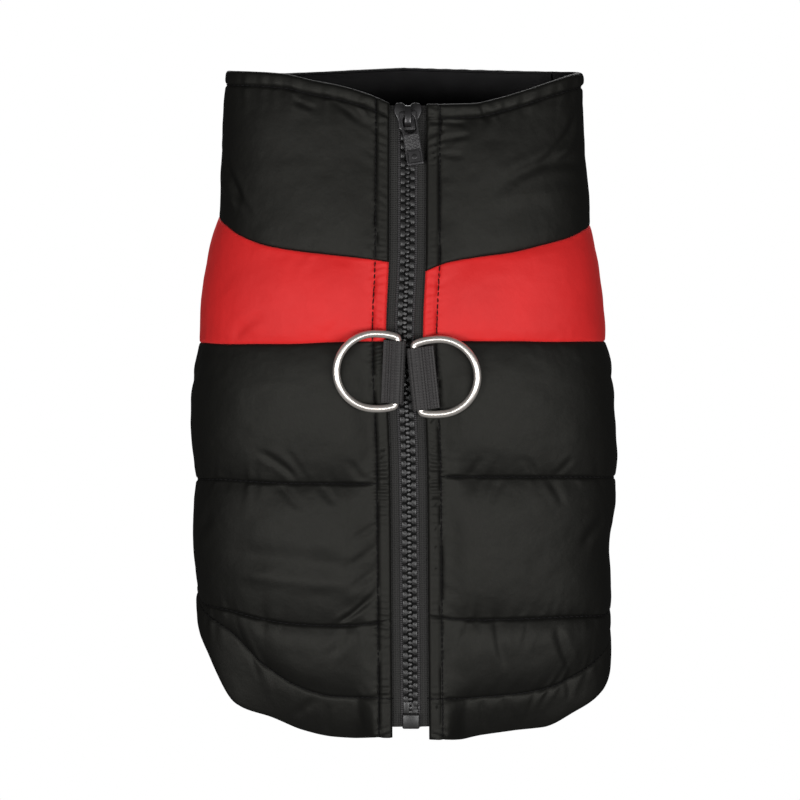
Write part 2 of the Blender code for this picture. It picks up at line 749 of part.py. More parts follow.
def make_pull(vest):
    """Pull tab, with its origin on its bar's axis in the slider's bridge."""
    height, out = PULL_PIVOT
    frame = zip_frame(SLIDER_HEIGHT)
    place = Matrix.Translation(Vector((0, -out, height - SLIDER_HEIGHT)) * MM)
    lean = Matrix.Rotation(-PULL_LEAN, 4, "Y")
    seat = add_empty("pull_pivot", frame @ place @ lean, vest)
    bar = PULL_BAR / 2
    tab = rounded_box(PULL_WIDTH, PULL_LENGTH, (0, bar - PULL_LENGTH / 2), PULL_CORNER)
    slot = rounded_box(SLOT[0], SLOT[1], (0, -bar - SLOT[1] / 2), SLOT_CORNER)
    window = rounded_box(WINDOW[0], WINDOW[1], (0, -WINDOW_MIDDLE), WINDOW_CORNER)
    mesh = outline_mesh("zip_pull", [tab, slot, window], PULL_THICKNESS, UPRIGHT)
    add_object("zip_pull", mesh, vest, BLACK_LACQUER, seat)


# ---------------------------------------------------------------- rings and webbing

def ring_frame(side):
    """Frame on a ring's bar: +X towards the ring's bow, +Y out of the vest, Z on the bar."""
    place = RING_PLACES[side]
    front = -SECTION_CURVES["front"](place.height)
    origin = Vector((place.x, front - BAR_OUT, place.height)) * MM
    outwards = Vector((0, -1, 0))
    bar = Vector((math.sin(place.lean), 0, math.cos(place.lean)))
    if side == RIGHT:
        bar.negate()
    bow = outwards.cross(bar)
    return Matrix.Translation(origin) @ Matrix((bow, outwards, bar)).transposed().to_4x4()


def ring_points():
    """Middle line of the D: a near-square side at the bar, and a round bow."""
    half_tall = (RING_TALL - WIRE) / 2
    bow = RING_WIDE - WIRE / 2 - RING_WIDEST
    corner = math.asin((RING_BAR / 2 / half_tall) ** (RING_SQUARE / 2))
    shoulder = []
    for i in range(RING_STEPS):
        turn = corner + (math.pi / 2 - corner) * i / RING_STEPS
        part = (math.cos(turn) / math.cos(corner)) ** (2 / RING_SQUARE)
        shoulder.append((RING_WIDEST * (1 - part), half_tall * math.sin(turn) ** (2 / RING_SQUARE)))
    arc = []
    for i in range(2 * RING_STEPS + 1):
        turn = math.pi / 2 - math.pi * i / (2 * RING_STEPS)
        across = max(math.cos(turn), 0.0) ** (2 / RING_ROUND)
        tall = math.copysign(abs(math.sin(turn)) ** (2 / RING_ROUND), turn)
        arc.append((RING_WIDEST + bow * across, half_tall * tall))
    return shoulder + arc + [(x, -z) for x, z in reversed(shoulder)]


def make_ring(side, vest, seat):
    """Welded D-ring, with its origin on its straight bar."""
    name = f"ring_{NAMES[side]}"
    curve = bpy.data.curves.new(name, "CURVE")
    curve.dimensions = "3D"
    curve.bevel_depth = WIRE / 2 * MM
    curve.bevel_resolution = 2
    points = ring_points()
    spline = curve.splines.new("POLY")
    spline.points.add(len(points) - 1)
    for point, (x, z) in zip(spline.points, points):
        point.co = (x * math.cos(RING_LIFT) * MM, x * math.sin(RING_LIFT) * MM, z * MM, 1)
    spline.use_cyclic_u = True
    add_object(name, curve, vest, STEEL, seat)


def loop_outline(radius, tail, tail_low, tail_high, steps=10):
    """Outline of webbing folded round the bar, flat below and tapering to its tail."""
    fold = [(-radius * math.sin(math.pi * i / steps), radius * math.cos(math.pi * i / steps))
            for i in range(steps + 1)]
    rise = radius - tail_high
    slope = [(tail * t, tail_high + rise * (1 - ease(t))) for t in (1.0, 0.75, 0.5, 0.25)]
    return fold + [(tail, tail_low)] + slope


def make_webbing(side, vest, seat):
    """Loop of webbing folded round the ring's bar, its two layers joined at the tail."""
    name = f"webbing_{NAMES[side]}"
    tail = RING_PLACES[side].tail
    outside = WIRE / 2 + GAP + WEBBING
    inside = WIRE / 2 + GAP
    outer = loop_outline(outside, tail, -outside, -outside + 2 * WEBBING)
    inner = loop_outline(inside, tail - WEBBING_SEAM, -inside, -inside + GAP / 2)
    mesh = outline_mesh(name, [outer, inner], WEBBING_WIDTH, Matrix.Identity(4))
    add_object(name, mesh, vest, BLACK_TAPE, seat)


def make_rings(vest):
    for side in (LEFT, RIGHT):
        seat = add_empty(f"ring_bar_{NAMES[side]}", ring_frame(side), vest)
        make_ring(side, vest, seat)
        make_webbing(side, vest, seat)


# ---------------------------------------------------------------- the whole vest

def main():
    clear_scene()
    vest = make_collection("dog_winter_vest")
    cutters = make_collection("cutters")
    make_panels(vest)
    make_belly(vest, cutters)
    make_bindings(vest)
    make_zip(vest)
    make_zip_box(vest)
    make_slider(vest, cutters)
    make_pull(vest)
    make_rings(vest)


main()
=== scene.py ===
"""Looks of the dog winter vest: quilted nylon panels, zip, lead rings and stitching.

Sizes are in millimetres and become metres in the meshes. "Reach" is the length of
cloth from the zip's middle line, and "share" is a place round the vest: 0 at the
edge beside the zip, 1 at the side, SIDE_SEAM at the side seam and 2 at the middle of
the belly. Left and right are as seen from -Y, where the zip is.
"""

from __future__ import annotations

import logging
import math
from dataclasses import dataclass, field
from enum import Enum
from typing import Callable, Iterable, Sequence

import bmesh
import bpy
import numpy as np
from mathutils import Matrix, Vector

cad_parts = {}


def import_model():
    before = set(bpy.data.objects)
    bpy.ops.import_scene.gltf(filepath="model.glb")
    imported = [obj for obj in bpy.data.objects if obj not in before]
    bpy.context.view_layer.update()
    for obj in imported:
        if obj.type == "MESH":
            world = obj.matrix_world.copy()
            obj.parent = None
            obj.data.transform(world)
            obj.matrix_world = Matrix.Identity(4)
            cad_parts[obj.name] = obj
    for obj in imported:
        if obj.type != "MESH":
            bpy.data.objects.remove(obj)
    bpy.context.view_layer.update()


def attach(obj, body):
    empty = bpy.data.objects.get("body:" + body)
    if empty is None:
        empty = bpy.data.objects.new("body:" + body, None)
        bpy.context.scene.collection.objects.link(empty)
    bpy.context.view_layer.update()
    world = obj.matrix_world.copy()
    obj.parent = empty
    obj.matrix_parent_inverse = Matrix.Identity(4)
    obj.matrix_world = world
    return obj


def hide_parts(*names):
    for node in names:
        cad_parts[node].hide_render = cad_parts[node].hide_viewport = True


log = logging.getLogger("dog_winter_vest")

Array = np.ndarray
Line = tuple[np.ndarray, np.ndarray]
Pair = tuple[float, float]
Triple = tuple[float, float, float]

MM = 0.001
WALL = 2.0
GAP = 0.3
OVERLAP = 0.08
SIDE_SEAM = 1.25
BELLY = 2.0
EDGE = 7.4
STRIP = 12.9
NECK_HEM = 5.8


class Side(Enum):
    """Halves of the vest, with the sign of their reach."""

    LEFT = -1
    RIGHT = 1

    @property
    def word(self) -> str:
        """Name as it stands in the parts' names."""
        return self.name.lower()


class Body(Enum):
    """Parts of the frame that pieces ride on."""

    VEST = "vest"
    PULL_TAB = "pull_tab"
    RING_LEFT = "lead_ring_left"
    RING_RIGHT = "lead_ring_right"


# ---------------------------------------------------------------- curves and noise

class SmoothCurve:
    """A smooth curve through places and values that never overshoots them."""

    def __init__(self, places: Sequence[float], values: Sequence[float]) -> None:
        """Work out the slopes.

        Args:
            places: Where the values stand, in any order.
            values: Value at each place.
        """
        order = np.argsort(places)
        self.places = np.asarray(places, float)[order]
        self.values = np.asarray(values, float)[order]
        grades = np.diff(self.values) / np.diff(self.places)
        slopes = np.zeros_like(self.values)
        before, after = grades[:-1], grades[1:]
        same_way = before * after > 0
        total = np.where(same_way, before + after, 1.0)
        slopes[1:-1] = np.where(same_way, 2 * before * after / total, 0.0)
        slopes[0], slopes[-1] = grades[0], grades[-1]
        self.slopes = slopes

    def __call__(self, place: Array | float) -> Array:
        """Values at the places, held level beyond the ends."""
        place = np.clip(place, self.places[0], self.places[-1])
        i = np.clip(np.searchsorted(self.places, place) - 1, 0, len(self.places) - 2)
        width = self.places[i + 1] - self.places[i]
        t = (place - self.places[i]) / width
        start = self.values[i] * (1 + 2 * t) * (1 - t) ** 2
        leave = self.slopes[i] * width * t * (1 - t) ** 2
        end = self.values[i + 1] * t * t * (3 - 2 * t)
        arrive = self.slopes[i + 1] * width * t * t * (t - 1)
        return start + leave + end + arrive


def stacked(*parts: Array) -> Array:
    """Tables laid together as coordinates on a last axis."""
    return np.stack(parts, axis=-1)


def ease(value: Array | float) -> Array:
    """Smooth step from 0 to 1."""
    value = np.clip(value, 0.0, 1.0)
    return value * value * (3 - 2 * value)


def between(at: Callable[[Array, Array], Array], i: Array, j: Array,
            s: Array, t: Array) -> Array:
    """Value of a table between its rows i and i + 1 and its columns j and j + 1."""
    near = at(i, j) * (1 - t) + at(i, j + 1) * t
    far = at(i + 1, j) * (1 - t) + at(i + 1, j + 1) * t
    return near * (1 - s) + far * s


class Wander:
    """Smooth noise from -1 to 1 over the cloth, the same on every run."""

    CELLS = 97

    def __init__(self, seed: int, across: float, along: float = 1.0) -> None:
        """Set its grain.

        Args:
            seed: Picks one pattern.
            across: Size of a wave along the first coordinate.
            along: Size of a wave along the second coordinate.
        """
        self.lattice = np.random.default_rng(seed).uniform(-1, 1, (self.CELLS, self.CELLS))
        self.across, self.along = across, along

    def __call__(self, a: Array, b: Array | float = 0.0) -> Array:
        """Noise at the coordinates."""
        a, b = np.broadcast_arrays(np.asarray(a) / self.across, np.asarray(b) / self.along)
        i, j = np.floor(a).astype(int), np.floor(b).astype(int)
        return between(self._at, i, j, ease(a - i), ease(b - j))

    def _at(self, i: Array, j: Array) -> Array:
        """Lattice values, wrapped round."""
        return self.lattice[i % self.CELLS, j % self.CELLS]


# ---------------------------------------------------------------- the vest's surface

@dataclass(frozen=True)
class Section:
    """Level section of the vest."""

    height: float
    centre: float
    half_width: float
    front: float
    back: float


@dataclass(frozen=True)
class Lines:
    """Heights of the seams and stitched lines at one share of the way round."""

    share: float
    neck: float
    band_top: float
    band_low: float
    quilt_1: float
    quilt_2: float
    hem_stitch: float
    hem: float


LINE_NAMES = ("neck", "band_top", "band_low", "quilt_1", "quilt_2", "hem_stitch", "hem")

SECTIONS = tuple(Section(*row) for row in (
    (140, 0.6, 71.6, 26.5, 27),
    (119, -0.4, 72.2, 29, 32),
    (98, -0.2, 72.4, 32, 36),
    (78, 0.2, 74.2, 35.5, 39),
    (58, -0.6, 77.8, 38.5, 41),
    (37, -0.6, 80.8, 40.4, 42),
    (17, -0.6, 83.0, 41, 42),
    (-4, -0.6, 84.0, 41, 41.5),
    (-34, 0.8, 85.3, 40.6, 40),
    (-65, -1.0, 83.2, 40, 38.5),
    (-89, 0.0, 84.4, 39.4, 38),
    (-140, 0.5, 84.2, 38, 37),
))

# Height and x of the zip's middle line
ZIP_LINE = ((135, 1.6), (60, 1.4), (26, 0.2), (-30, 1.9), (-90, 2.4), (-140, 2.8))

LINES = {side: tuple(Lines(*row) for row in rows) for side, rows in {
    Side.LEFT: (
        (0.00, 118.4, 55.2, 23.6, -33.3, -88.8, -121.0, -137.0),
        (0.10, 121.9, 56.5, 23.5, -33.8, -90.6, -120.5, -137.0),
        (0.25, 125.4, 57.9, 23.0, -33.8, -91.4, -120.0, -136.6),
        (0.40, 127.6, 59.3, 22.2, -34.0, -91.0, -116.3, -134.1),
        (0.55, 130.1, 61.2, 21.9, -33.8, -89.3, -107.8, -128.6),
        (0.70, 130.8, 64.8, 21.3, -33.6, -86.8, -95.4, -123.0),
        (0.85, 131.0, 69.3, 21.0, -34.6, -85.8, -89.2, -103.0),
        (1.00, 131.0, 71.8, 20.2, -35.9, -79.0, -82.4, -92.0),
        (1.25, 129.6, 73.4, 20.0, -36.0, -52.0, -55.4, -68.0),
        (2.00, 132.0, 73.0, 20.0, -36.0, -43.0, -46.0, -58.0),
    ),
    Side.RIGHT: (
        (0.00, 118.0, 51.6, 23.6, -30.9, -87.2, -121.0, -137.8),
        (0.10, 118.1, 55.0, 23.7, -30.9, -88.5, -121.0, -137.9),
        (0.25, 118.4, 57.2, 23.5, -31.1, -89.0, -120.2, -135.8),
        (0.40, 120.7, 58.8, 23.3, -31.4, -89.0, -119.4, -134.3),
        (0.55, 123.8, 61.4, 22.7, -31.8, -89.0, -117.0, -132.9),
        (0.70, 127.0, 63.9, 22.3, -32.6, -89.4, -111.4, -125.9),
        (0.85, 129.4, 66.8, 21.6, -33.8, -90.4, -105.1, -119.7),
        (1.00, 130.2, 68.4, 20.7, -35.2, -88.4, -96.4, -110.5),
        (1.25, 130.4, 70.6, 20.0, -36.0, -59.0, -62.6, -76.5),
        (2.00, 132.0, 73.0, 20.0, -36.0, -43.0, -46.0, -58.0),
    ),
}.items()}


class VestForm:
    """Outer face of the seams, as tables over height and reach."""

    ROUNDNESS = 2.4
    LOW, HIGH, HEIGHT_STEP = -145.0, 145.0, 1.0
    FURTHEST, REACH_STEP = 225.0, 0.5
    TURN_STEPS = 1440

    def __init__(self) -> None:
        """Work out the tables."""
        self.heights = np.arange(self.LOW, self.HIGH + self.HEIGHT_STEP, self.HEIGHT_STEP)
        self.reaches = np.arange(-self.FURTHEST, self.FURTHEST + self.REACH_STEP, self.REACH_STEP)
        rows = [row.height for row in SECTIONS]
        self.sizes = {name: SmoothCurve(rows, [getattr(row, name) for row in SECTIONS])
                      for name in ("centre", "half_width", "front", "back")}
        self.zip_x = SmoothCurve(*zip(*ZIP_LINE))
        self.lines = {
            side: {name: SmoothCurve([row.share for row in rows],
                                     [getattr(row, name) for row in rows])
                   for name in LINE_NAMES}
            for side, rows in LINES.items()
        }
        self._fill_tables()

    def _fill_tables(self) -> None:
        """Points and outward normals over height and signed reach."""
        turn = np.linspace(-math.pi, math.pi, self.TURN_STEPS + 1)
        power = 2 / self.ROUNDNESS
        across = np.sign(np.sin(turn)) * np.abs(np.sin(turn)) ** power
        along = np.sign(np.cos(turn)) * np.abs(np.cos(turn)) ** power
        quarter = self.TURN_STEPS // 4
        front = slice(quarter, 3 * quarter + 1)
        shape = (len(self.heights), len(self.reaches))
        self.points = np.zeros((*shape, 3))
        ends = []
        for i, height in enumerate(self.heights):
            x = self.sizes["centre"](height) + self.sizes["half_width"](height) * across
            y = -along * np.where(along > 0, self.sizes["front"](height),
                                  self.sizes["back"](height))
            distance = np.concatenate([[0.0], np.cumsum(np.hypot(np.diff(x), np.diff(y)))])
            round_it = distance[-1]
            distance -= np.interp(self.zip_x(height), x[front], distance[front])
            self.points[i, :, 0] = np.interp(self.reaches, distance, x, period=round_it)
            self.points[i, :, 1] = np.interp(self.reaches, distance, y, period=round_it)
            self.points[i, :, 2] = height
            ends.append((-distance[quarter], distance[3 * quarter], -distance[0], distance[-1]))
        self.side_reach = dict(zip(Side, np.array(ends).T[:2]))
        self.back_reach = dict(zip(Side, np.array(ends).T[2:]))
        up = np.gradient(self.points, axis=0)
        right = np.gradient(self.points, axis=1)
        normals = np.cross(right, up)
        self.normals = normals / np.linalg.norm(normals, axis=2, keepdims=True)

    def _read(self, table: Array, signed: Array, height: Array) -> Array:
        """Value of a table at signed reaches and heights."""
        signed, height = np.broadcast_arrays(signed, height)
        a = np.clip((height - self.LOW) / self.HEIGHT_STEP, 0, len(self.heights) - 1.001)
        b = np.clip((signed + self.FURTHEST) / self.REACH_STEP, 0, len(self.reaches) - 1.001)
        i, j = a.astype(int), b.astype(int)
        return between(lambda m, n: table[m, n], i, j, (a - i)[..., None], (b - j)[..., None])

    def outward(self, signed: Array, height: Array) -> Array:
        """Unit normals at signed reaches and heights."""
        normal = self._read(self.normals, signed, height)
        return normal / np.linalg.norm(normal, axis=-1, keepdims=True)

    def place(self, signed: Array, height: Array,
              out: Array | float = 0.0) -> Array:
        """Points on the vest.

        Args:
            signed: Reach, below zero on the left side.
            height: Height.
            out: Distance outside the seams' outer face.

        Returns:
            Points in millimetres, with x, y and z on the last axis.
        """
        signed, height, out = np.broadcast_arrays(signed, height, out)
        away = self.outward(signed, height) * out[..., None]
        return self._read(self.points, signed, height) + away

    def reach(self, side: Side, share: Array, height: Array) -> Array:
        """Reach at a share of the way round, without its sign."""
        at_side = np.interp(height, self.heights, self.side_reach[side])
        at_back = np.interp(height, self.heights, self.back_reach[side])
        near = EDGE + share * (at_side - EDGE)
        return np.where(share <= 1, near, at_side + (share - 1) * (at_back - at_side))

    def line(self, side: Side, name: str, share: Array) -> Array:
        """Height of a seam or stitched line."""
        return self.lines[side][name](share)


FORM = VestForm()


# ---------------------------------------------------------------- finishes

class Board:
    """A material's node tree, with short ways to add and join nodes."""

    def __init__(self, name: str) -> None:
        """Start a material with its shader."""
        self.material = bpy.data.materials.new(name)
        self.material.use_nodes = True
        self.tree = self.material.node_tree
        self.shader = self.tree.nodes["Principled BSDF"]

    def add(self, kind: str, settings: dict | None = None, **inputs) -> bpy.types.Node:
        """Add a node.

        Args:
            kind: Its type.
            settings: Properties of the node.
            **inputs: Sockets by name, with underscores for spaces: a value or another socket.

        Returns:
            The node.
        """
        node = self.tree.nodes.new(kind)
        for key, value in (settings or {}).items():
            setattr(node, key, value)
        self.fill(node, inputs)
        return node

    def fill(self, node: bpy.types.Node, inputs: dict) -> None:
        """Set or link sockets of a node, named with underscores for spaces."""
        for key, value in inputs.items():
            self.feed(node.inputs[key.replace("_", " ")], value)

    def feed(self, socket: bpy.types.NodeSocket, value) -> None:
        """Set a socket, or link another one into it."""
        if isinstance(value, bpy.types.NodeSocket):
            self.tree.links.new(value, socket)
        else:
            socket.default_value = value

    def surface(self, **inputs) -> None:
        """Set or link sockets of the shader."""
        self.fill(self.shader, inputs)

    def sum(self, operation: str, a, b) -> bpy.types.NodeSocket:
        """Result of a sum of two values."""
        node = self.add("ShaderNodeMath", {"operation": operation})
        self.feed(node.inputs[0], a)
        self.feed(node.inputs[1], b)
        return node.outputs[0]

    def span(self, value, low: float, high: float) -> bpy.types.NodeSocket:
        """A value from 0 to 1 spread over a range."""
        node = self.add("ShaderNodeMapRange", Value=value, To_Min=low, To_Max=high)
        return node.outputs["Result"]

    def blend(self, factor, first, second) -> bpy.types.NodeSocket:
        """Mix of two colours."""
        node = self.add("ShaderNodeMix", {"data_type": "RGBA"}, Factor=factor)
        self.feed(node.inputs[6], first)
        self.feed(node.inputs[7], second)
        return node.outputs[2]

    def bump(self, height, depth: float, strength: float, normal=None) -> bpy.types.NodeSocket:
        """Normal of a relief that is depth metres deep."""
        node = self.add("ShaderNodeBump", Height=height, Distance=depth, Strength=strength)
        if normal:
            self.feed(node.inputs["Normal"], normal)
        return node.outputs["Normal"]

    def noise(self, where, grain: float, detail: float = 3.0) -> bpy.types.NodeSocket:
        """Noise with waves of a size in millimetres."""
        node = self.add("ShaderNodeTexNoise", Vector=where, Scale=1 / (grain * MM), Detail=detail)
        return node.outputs["Fac"]

    def threads(self, where, pitch: float, way: str) -> bpy.types.NodeSocket:
        """Parallel threads with a pitch in millimetres, lying along U or V."""
        settings = {"wave_type": "BANDS", "bands_direction": "Y" if way == "U" else "X",
                    "wave_profile": "SIN"}
        # A wave texture has one band in each pi / 10 of its scaled space
        node = self.add("ShaderNodeTexWave", settings, Vector=where,
                        Scale=math.pi / (10 * pitch * MM), Distortion=0.0)
        return node.outputs["Fac"]


def rgba(colour: Sequence[float]) -> tuple[float, float, float, float]:
    """Opaque colour."""
    return (*colour, 1.0)


def shade(colour: Sequence[float], factor: float) -> tuple[float, float, float, float]:
    """Opaque colour made lighter or darker."""
    return rgba([min(part * factor, 1.0) for part in colour])


@dataclass(frozen=True)
class ClothFinish:
    """Woven cloth: threads both ways with painted shade in their gaps, soft crinkles, and a mask
    that lightens wear at the edges and on some pieces paints shade or highlight instead.
    """

    name: str
    slot: str
    colour: Triple
    roughness: float = 0.5
    specular: float = 0.5
    tint: Triple = (1.0, 1.0, 1.0)
    sheen: float = 0.0
    sheen_tint: Triple = (1.0, 1.0, 1.0)
    thread: float = 0.42
    thread_depth: float = 0.03
    # Colour factor in the gaps between the threads: painted shade.
    gap: float = 0.55
    rib: float = 0.0
    rib_depth: float = 0.0
    crinkle: float = 5.0
    crinkle_depth: float = 0.25
    # Colour factor where the worn mask is: real wear on the nylon panels, painted shade on the zip
    # tape, painted highlight on the webbing.
    worn: float = 1.5
    patches: Pair = (0.86, 1.14)
    patch_size: float = 26.0
    sheen_roughness: float = 0.45

    def material(self) -> bpy.types.Material:
        """Make the cloth's material, which reads the piece's own cloth map."""
        board = Board(self.name)
        cloth = board.add("ShaderNodeUVMap", {"uv_map": "cloth"}).outputs["UV"]
        space = board.add("ShaderNodeTexCoord").outputs["Object"]
        warp = board.threads(cloth, self.thread, "V")
        weft = board.threads(cloth, self.thread, "U")
        weave = board.sum("MULTIPLY", warp, weft)
        patches = board.noise(space, self.patch_size, 4.0)
        tint = board.blend(board.span(patches, 0.0, 1.0),
                           *(shade(self.colour, tone) for tone in self.patches))
        # Painted shade in the weave's gaps, where the threads dip.
        tint = board.blend(board.span(weave, 0.0, 0.22), tint, shade(self.colour, self.gap))
        # Mask from the worn attribute: real wear lightens the nylon's turned edges, painted shade
        # darkens the zip tape under the teeth, painted highlight lightens the webbing's rib tops.
        edge = board.add("ShaderNodeAttribute", {"attribute_name": "worn"}).outputs["Fac"]
        wear_and_painted_light_mask = board.sum("MULTIPLY", edge, board.noise(space, 1.6))
        tint = board.blend(wear_and_painted_light_mask, tint, shade(self.colour, self.worn))
        board.surface(Base_Color=tint)
        fine = board.noise(space, 1.3, 2.0)
        board.surface(Roughness=board.sum("ADD", board.span(fine, -0.04, 0.04), self.roughness),
                      Specular_IOR_Level=self.specular, Specular_Tint=rgba(self.tint),
                      Sheen_Weight=self.sheen, Sheen_Roughness=self.sheen_roughness,
                      Sheen_Tint=rgba(self.sheen_tint))
        relief = board.bump(board.noise(space, self.crinkle, 5.0), self.crinkle_depth * MM, 1.0)
        if self.rib:
            ribs = board.threads(cloth, self.rib, "V")
            relief = board.bump(ribs, self.rib_depth * MM, 1.0, relief)
        relief = board.bump(weave, self.thread_depth * MM, 1.0, relief)
        board.surface(Normal=relief)
        return board.material


@dataclass(frozen=True)
class MouldedFinish:
    """Moulded plastic with a fine satin grain and a cloudy tone."""

    name: str
    slot: str
    colour: Triple
    roughness: float = 0.42
    grain: float = 0.35
    grain_depth: float = 0.02

    def material(self) -> bpy.types.Material:
        """Make the plastic's material."""
        board = Board(self.name)
        space = board.add("ShaderNodeTexCoord").outputs["Object"]
        cloudy = board.noise(space, 3.0)
        board.surface(Base_Color=board.blend(cloudy, shade(self.colour, 0.8),
                                             shade(self.colour, 1.35)))
        grain = board.noise(space, self.grain, 2.0)
        board.surface(Roughness=board.sum("ADD", board.span(cloudy, -0.08, 0.08), self.roughness))
        board.surface(Normal=board.bump(grain, self.grain_depth * MM, 0.8))
        return board.material


@dataclass(frozen=True)
class MetalFinish:
    """Plated or lacquered metal with faint smears and hairline scratches."""

    name: str
    slot: str
    colour: Triple
    roughness: float = 0.2
    metallic: float = 1.0
    coat: float = 0.0
    scratch_depth: float = 0.01

    def material(self) -> bpy.types.Material:
        """Make the metal's material."""
        board = Board(self.name)
        space = board.add("ShaderNodeTexCoord").outputs["Object"]
        smear = board.noise(space, 6.0, 4.0)
        board.surface(Base_Color=board.blend(smear, shade(self.colour, 0.88),
                                             shade(self.colour, 1.1)))
        board.surface(Roughness=board.sum("ADD", board.span(smear, -0.05, 0.07), self.roughness),
                      Metallic=self.metallic, Coat_Weight=self.coat)
        stretched = board.add("ShaderNodeMapping", Vector=space, Scale=(1.0, 1.0, 12.0))
        scratch = board.noise(stretched.outputs["Vector"], 1.2, 4.0)
        board.surface(Normal=board.bump(scratch, self.scratch_depth * MM, 0.6))
        return board.material


BLACK_NYLON = ClothFinish("black nylon", "black_nylon", (0.0044, 0.0043, 0.0039), 0.58, 0.27,
                          worn=1.1, tint=(1.0, 0.99, 0.9))
RED_NYLON = ClothFinish("red nylon", "red_nylon", (0.68, 0.015, 0.015), 0.62, 0.34, sheen=0.7,
                        sheen_tint=(1.0, 0.12, 0.12))
LINING = ClothFinish("lining taffeta", "lining", (0.0060, 0.0054, 0.0064), 0.6, 0.26, crinkle=7.0)
BINDING = ClothFinish("elastic binding", "binding", (0.012, 0.012, 0.012), 0.8, 0.25, sheen=0.2,
                      thread=0.5, rib=1.0, rib_depth=0.12)
# The zip tape's wear factor is a painted shade: with its mask it darkens the tape under the teeth.
TAPE = ClothFinish("zip tape", "zip_tape", (0.030, 0.0294, 0.0282), 0.8, 0.24, thread=0.9,
                   thread_depth=0.3, gap=0.3, crinkle_depth=0.12, worn=0.05)
# The webbing's wear factor lightens its rib tops as a painted highlight, and its gap factor paints
# deep shade between the threads.
WEBBING = ClothFinish("webbing", "webbing", (0.046, 0.044, 0.044), 0.8, 0.1, thread=1.15,
                      thread_depth=0.25, gap=0.03, crinkle_depth=0.1, worn=2.2)
THREAD = ClothFinish("thread", "black_nylon", (0.004, 0.0035, 0.004), 0.7, 0.2, thread=0.2,
                     crinkle_depth=0.02)
BEAD_THREAD = ClothFinish("bead thread", "zip_tape", (0.06, 0.057, 0.06), 0.6, 0.3, thread=0.2,
                          crinkle_depth=0.02)
MOULDED = MouldedFinish("moulded zip", "moulded", (0.016, 0.0155, 0.0155), 0.36)
LACQUER = MetalFinish("black lacquer", "lacquer", (0.03, 0.029, 0.03), 0.34, 0.6, 0.3)
PEBBLED = MouldedFinish("pebbled lacquer", "lacquer", (0.024, 0.023, 0.024), 0.45, 0.85, 0.35)
STEEL = MetalFinish("nickel plate", "steel", (0.70, 0.655, 0.61), 0.29, 0.7)


class Palette:
    """One material for each finish, made when it is first asked for."""

    made: dict[str, bpy.types.Material] = {}

    @classmethod
    def of(cls, finish: ClothFinish | MouldedFinish | MetalFinish) -> bpy.types.Material:
        """Material of a finish."""
        if finish.name not in cls.made:
            cls.made[finish.name] = finish.material()
        return cls.made[finish.name]


# ---------------------------------------------------------------- meshes

def linked(name: str, data: bpy.types.ID) -> bpy.types.Object:
    """New object in the scene."""
    item = bpy.data.objects.new(name, data)
    bpy.context.scene.collection.objects.link(item)
    return item


def evaluated(item: bpy.types.Object) -> bpy.types.Mesh:
    """Plain mesh of an object as its modifiers leave it."""
    graph = bpy.context.evaluated_depsgraph_get()
    return bpy.data.meshes.new_from_object(item.evaluated_get(graph))


def finished(name: str, mesh: bpy.types.Mesh, sharp: float) -> bpy.types.Object:
    """Object of a mesh, shaded round up to an angle in degrees."""
    mesh.shade_smooth()
    mesh.set_sharp_from_angle(angle=math.radians(sharp))
    return linked(name, mesh)


def mapped(form: bmesh.types.BMesh, up: int) -> None:
    """Give a form a cloth map from its X and its coordinate number up."""
    layer = form.loops.layers.uv.new("cloth")
    for face in form.faces:
        for loop in face.loops:
            loop[layer].uv = (loop.vert.co.x, loop.vert.co[up])


def lofted(name: str, rings: Sequence[Sequence[Vector]]) -> bpy.types.Object:
    """Small closed form through rings of corners in millimetres, which a row repeats."""
    form = bmesh.new()
    made = [[form.verts.new(corner * MM) for corner in ring] for ring in rings]
    for a, b in zip(made, made[1:]):
        for k in range(len(a)):
            m = (k + 1) % len(a)
            form.faces.new((a[k], a[m], b[m], b[k]))
    form.faces.new(made[0])
    form.faces.new(made[-1])
    bmesh.ops.recalc_face_normals(form, faces=form.faces[:])
    mapped(form, 1)
    mesh = bpy.data.meshes.new(name)
    form.to_mesh(mesh)
    form.free()
    return finished(name, mesh, 40.0)


def signed_volume(points: Array, faces: Array) -> float:
    """Volume inside four-sided faces, below zero where they face inwards."""
    a, b, c, d = (points[faces[:, k]] for k in range(4))
    return float(np.sum(np.cross(a, b) * c) + np.sum(np.cross(a, c) * d))


def solid(name: str, points: Array, faces: Array, finish, uv: Array | None = None,
          worn: Array | None = None, inside: tuple[Array, object] | None = None,
          sharp: float = 50.0) -> bpy.types.Object:
    """Object with its faces turned outwards.

    Args:
        name: Its name.
        points: Corners in millimetres.
        faces: Four corners of each face.
        finish: Its finish.
        uv: Place of each corner on the flat cloth, in millimetres.
        worn: How much wear each corner shows, from 0 to 1; on the zip tape it is painted shade and
            on the webbing painted highlight.
        inside: Faces that have another finish, and that finish.
        sharp: Angle past which an edge is not shaded round, in degrees.

    Returns:
        The object, at the origin.
    """
    if signed_volume(points, faces) < 0:
        faces = faces[:, ::-1]
    mesh = bpy.data.meshes.new(name)
    mesh.from_pydata((points * MM).tolist(), [], faces.tolist())
    mesh.materials.append(Palette.of(finish))
    if inside is not None:
        chosen, other = inside
        mesh.materials.append(Palette.of(other))
        mesh.polygons.foreach_set("material_index", chosen.astype(np.int32))
    flat = points[:, (0, 2)] if uv is None else uv
    corner = np.empty(len(mesh.loops), np.int32)
    mesh.loops.foreach_get("vertex_index", corner)
    layer = mesh.uv_layers.new(name="cloth")
    layer.data.foreach_set("uv", (flat[corner] * MM).astype(np.float32).ravel())
    if worn is not None:
        mesh.attributes.new("worn", "FLOAT", "POINT").data.foreach_set(
            "value", worn.astype(np.float32).ravel())
    return finished(name, mesh, sharp)


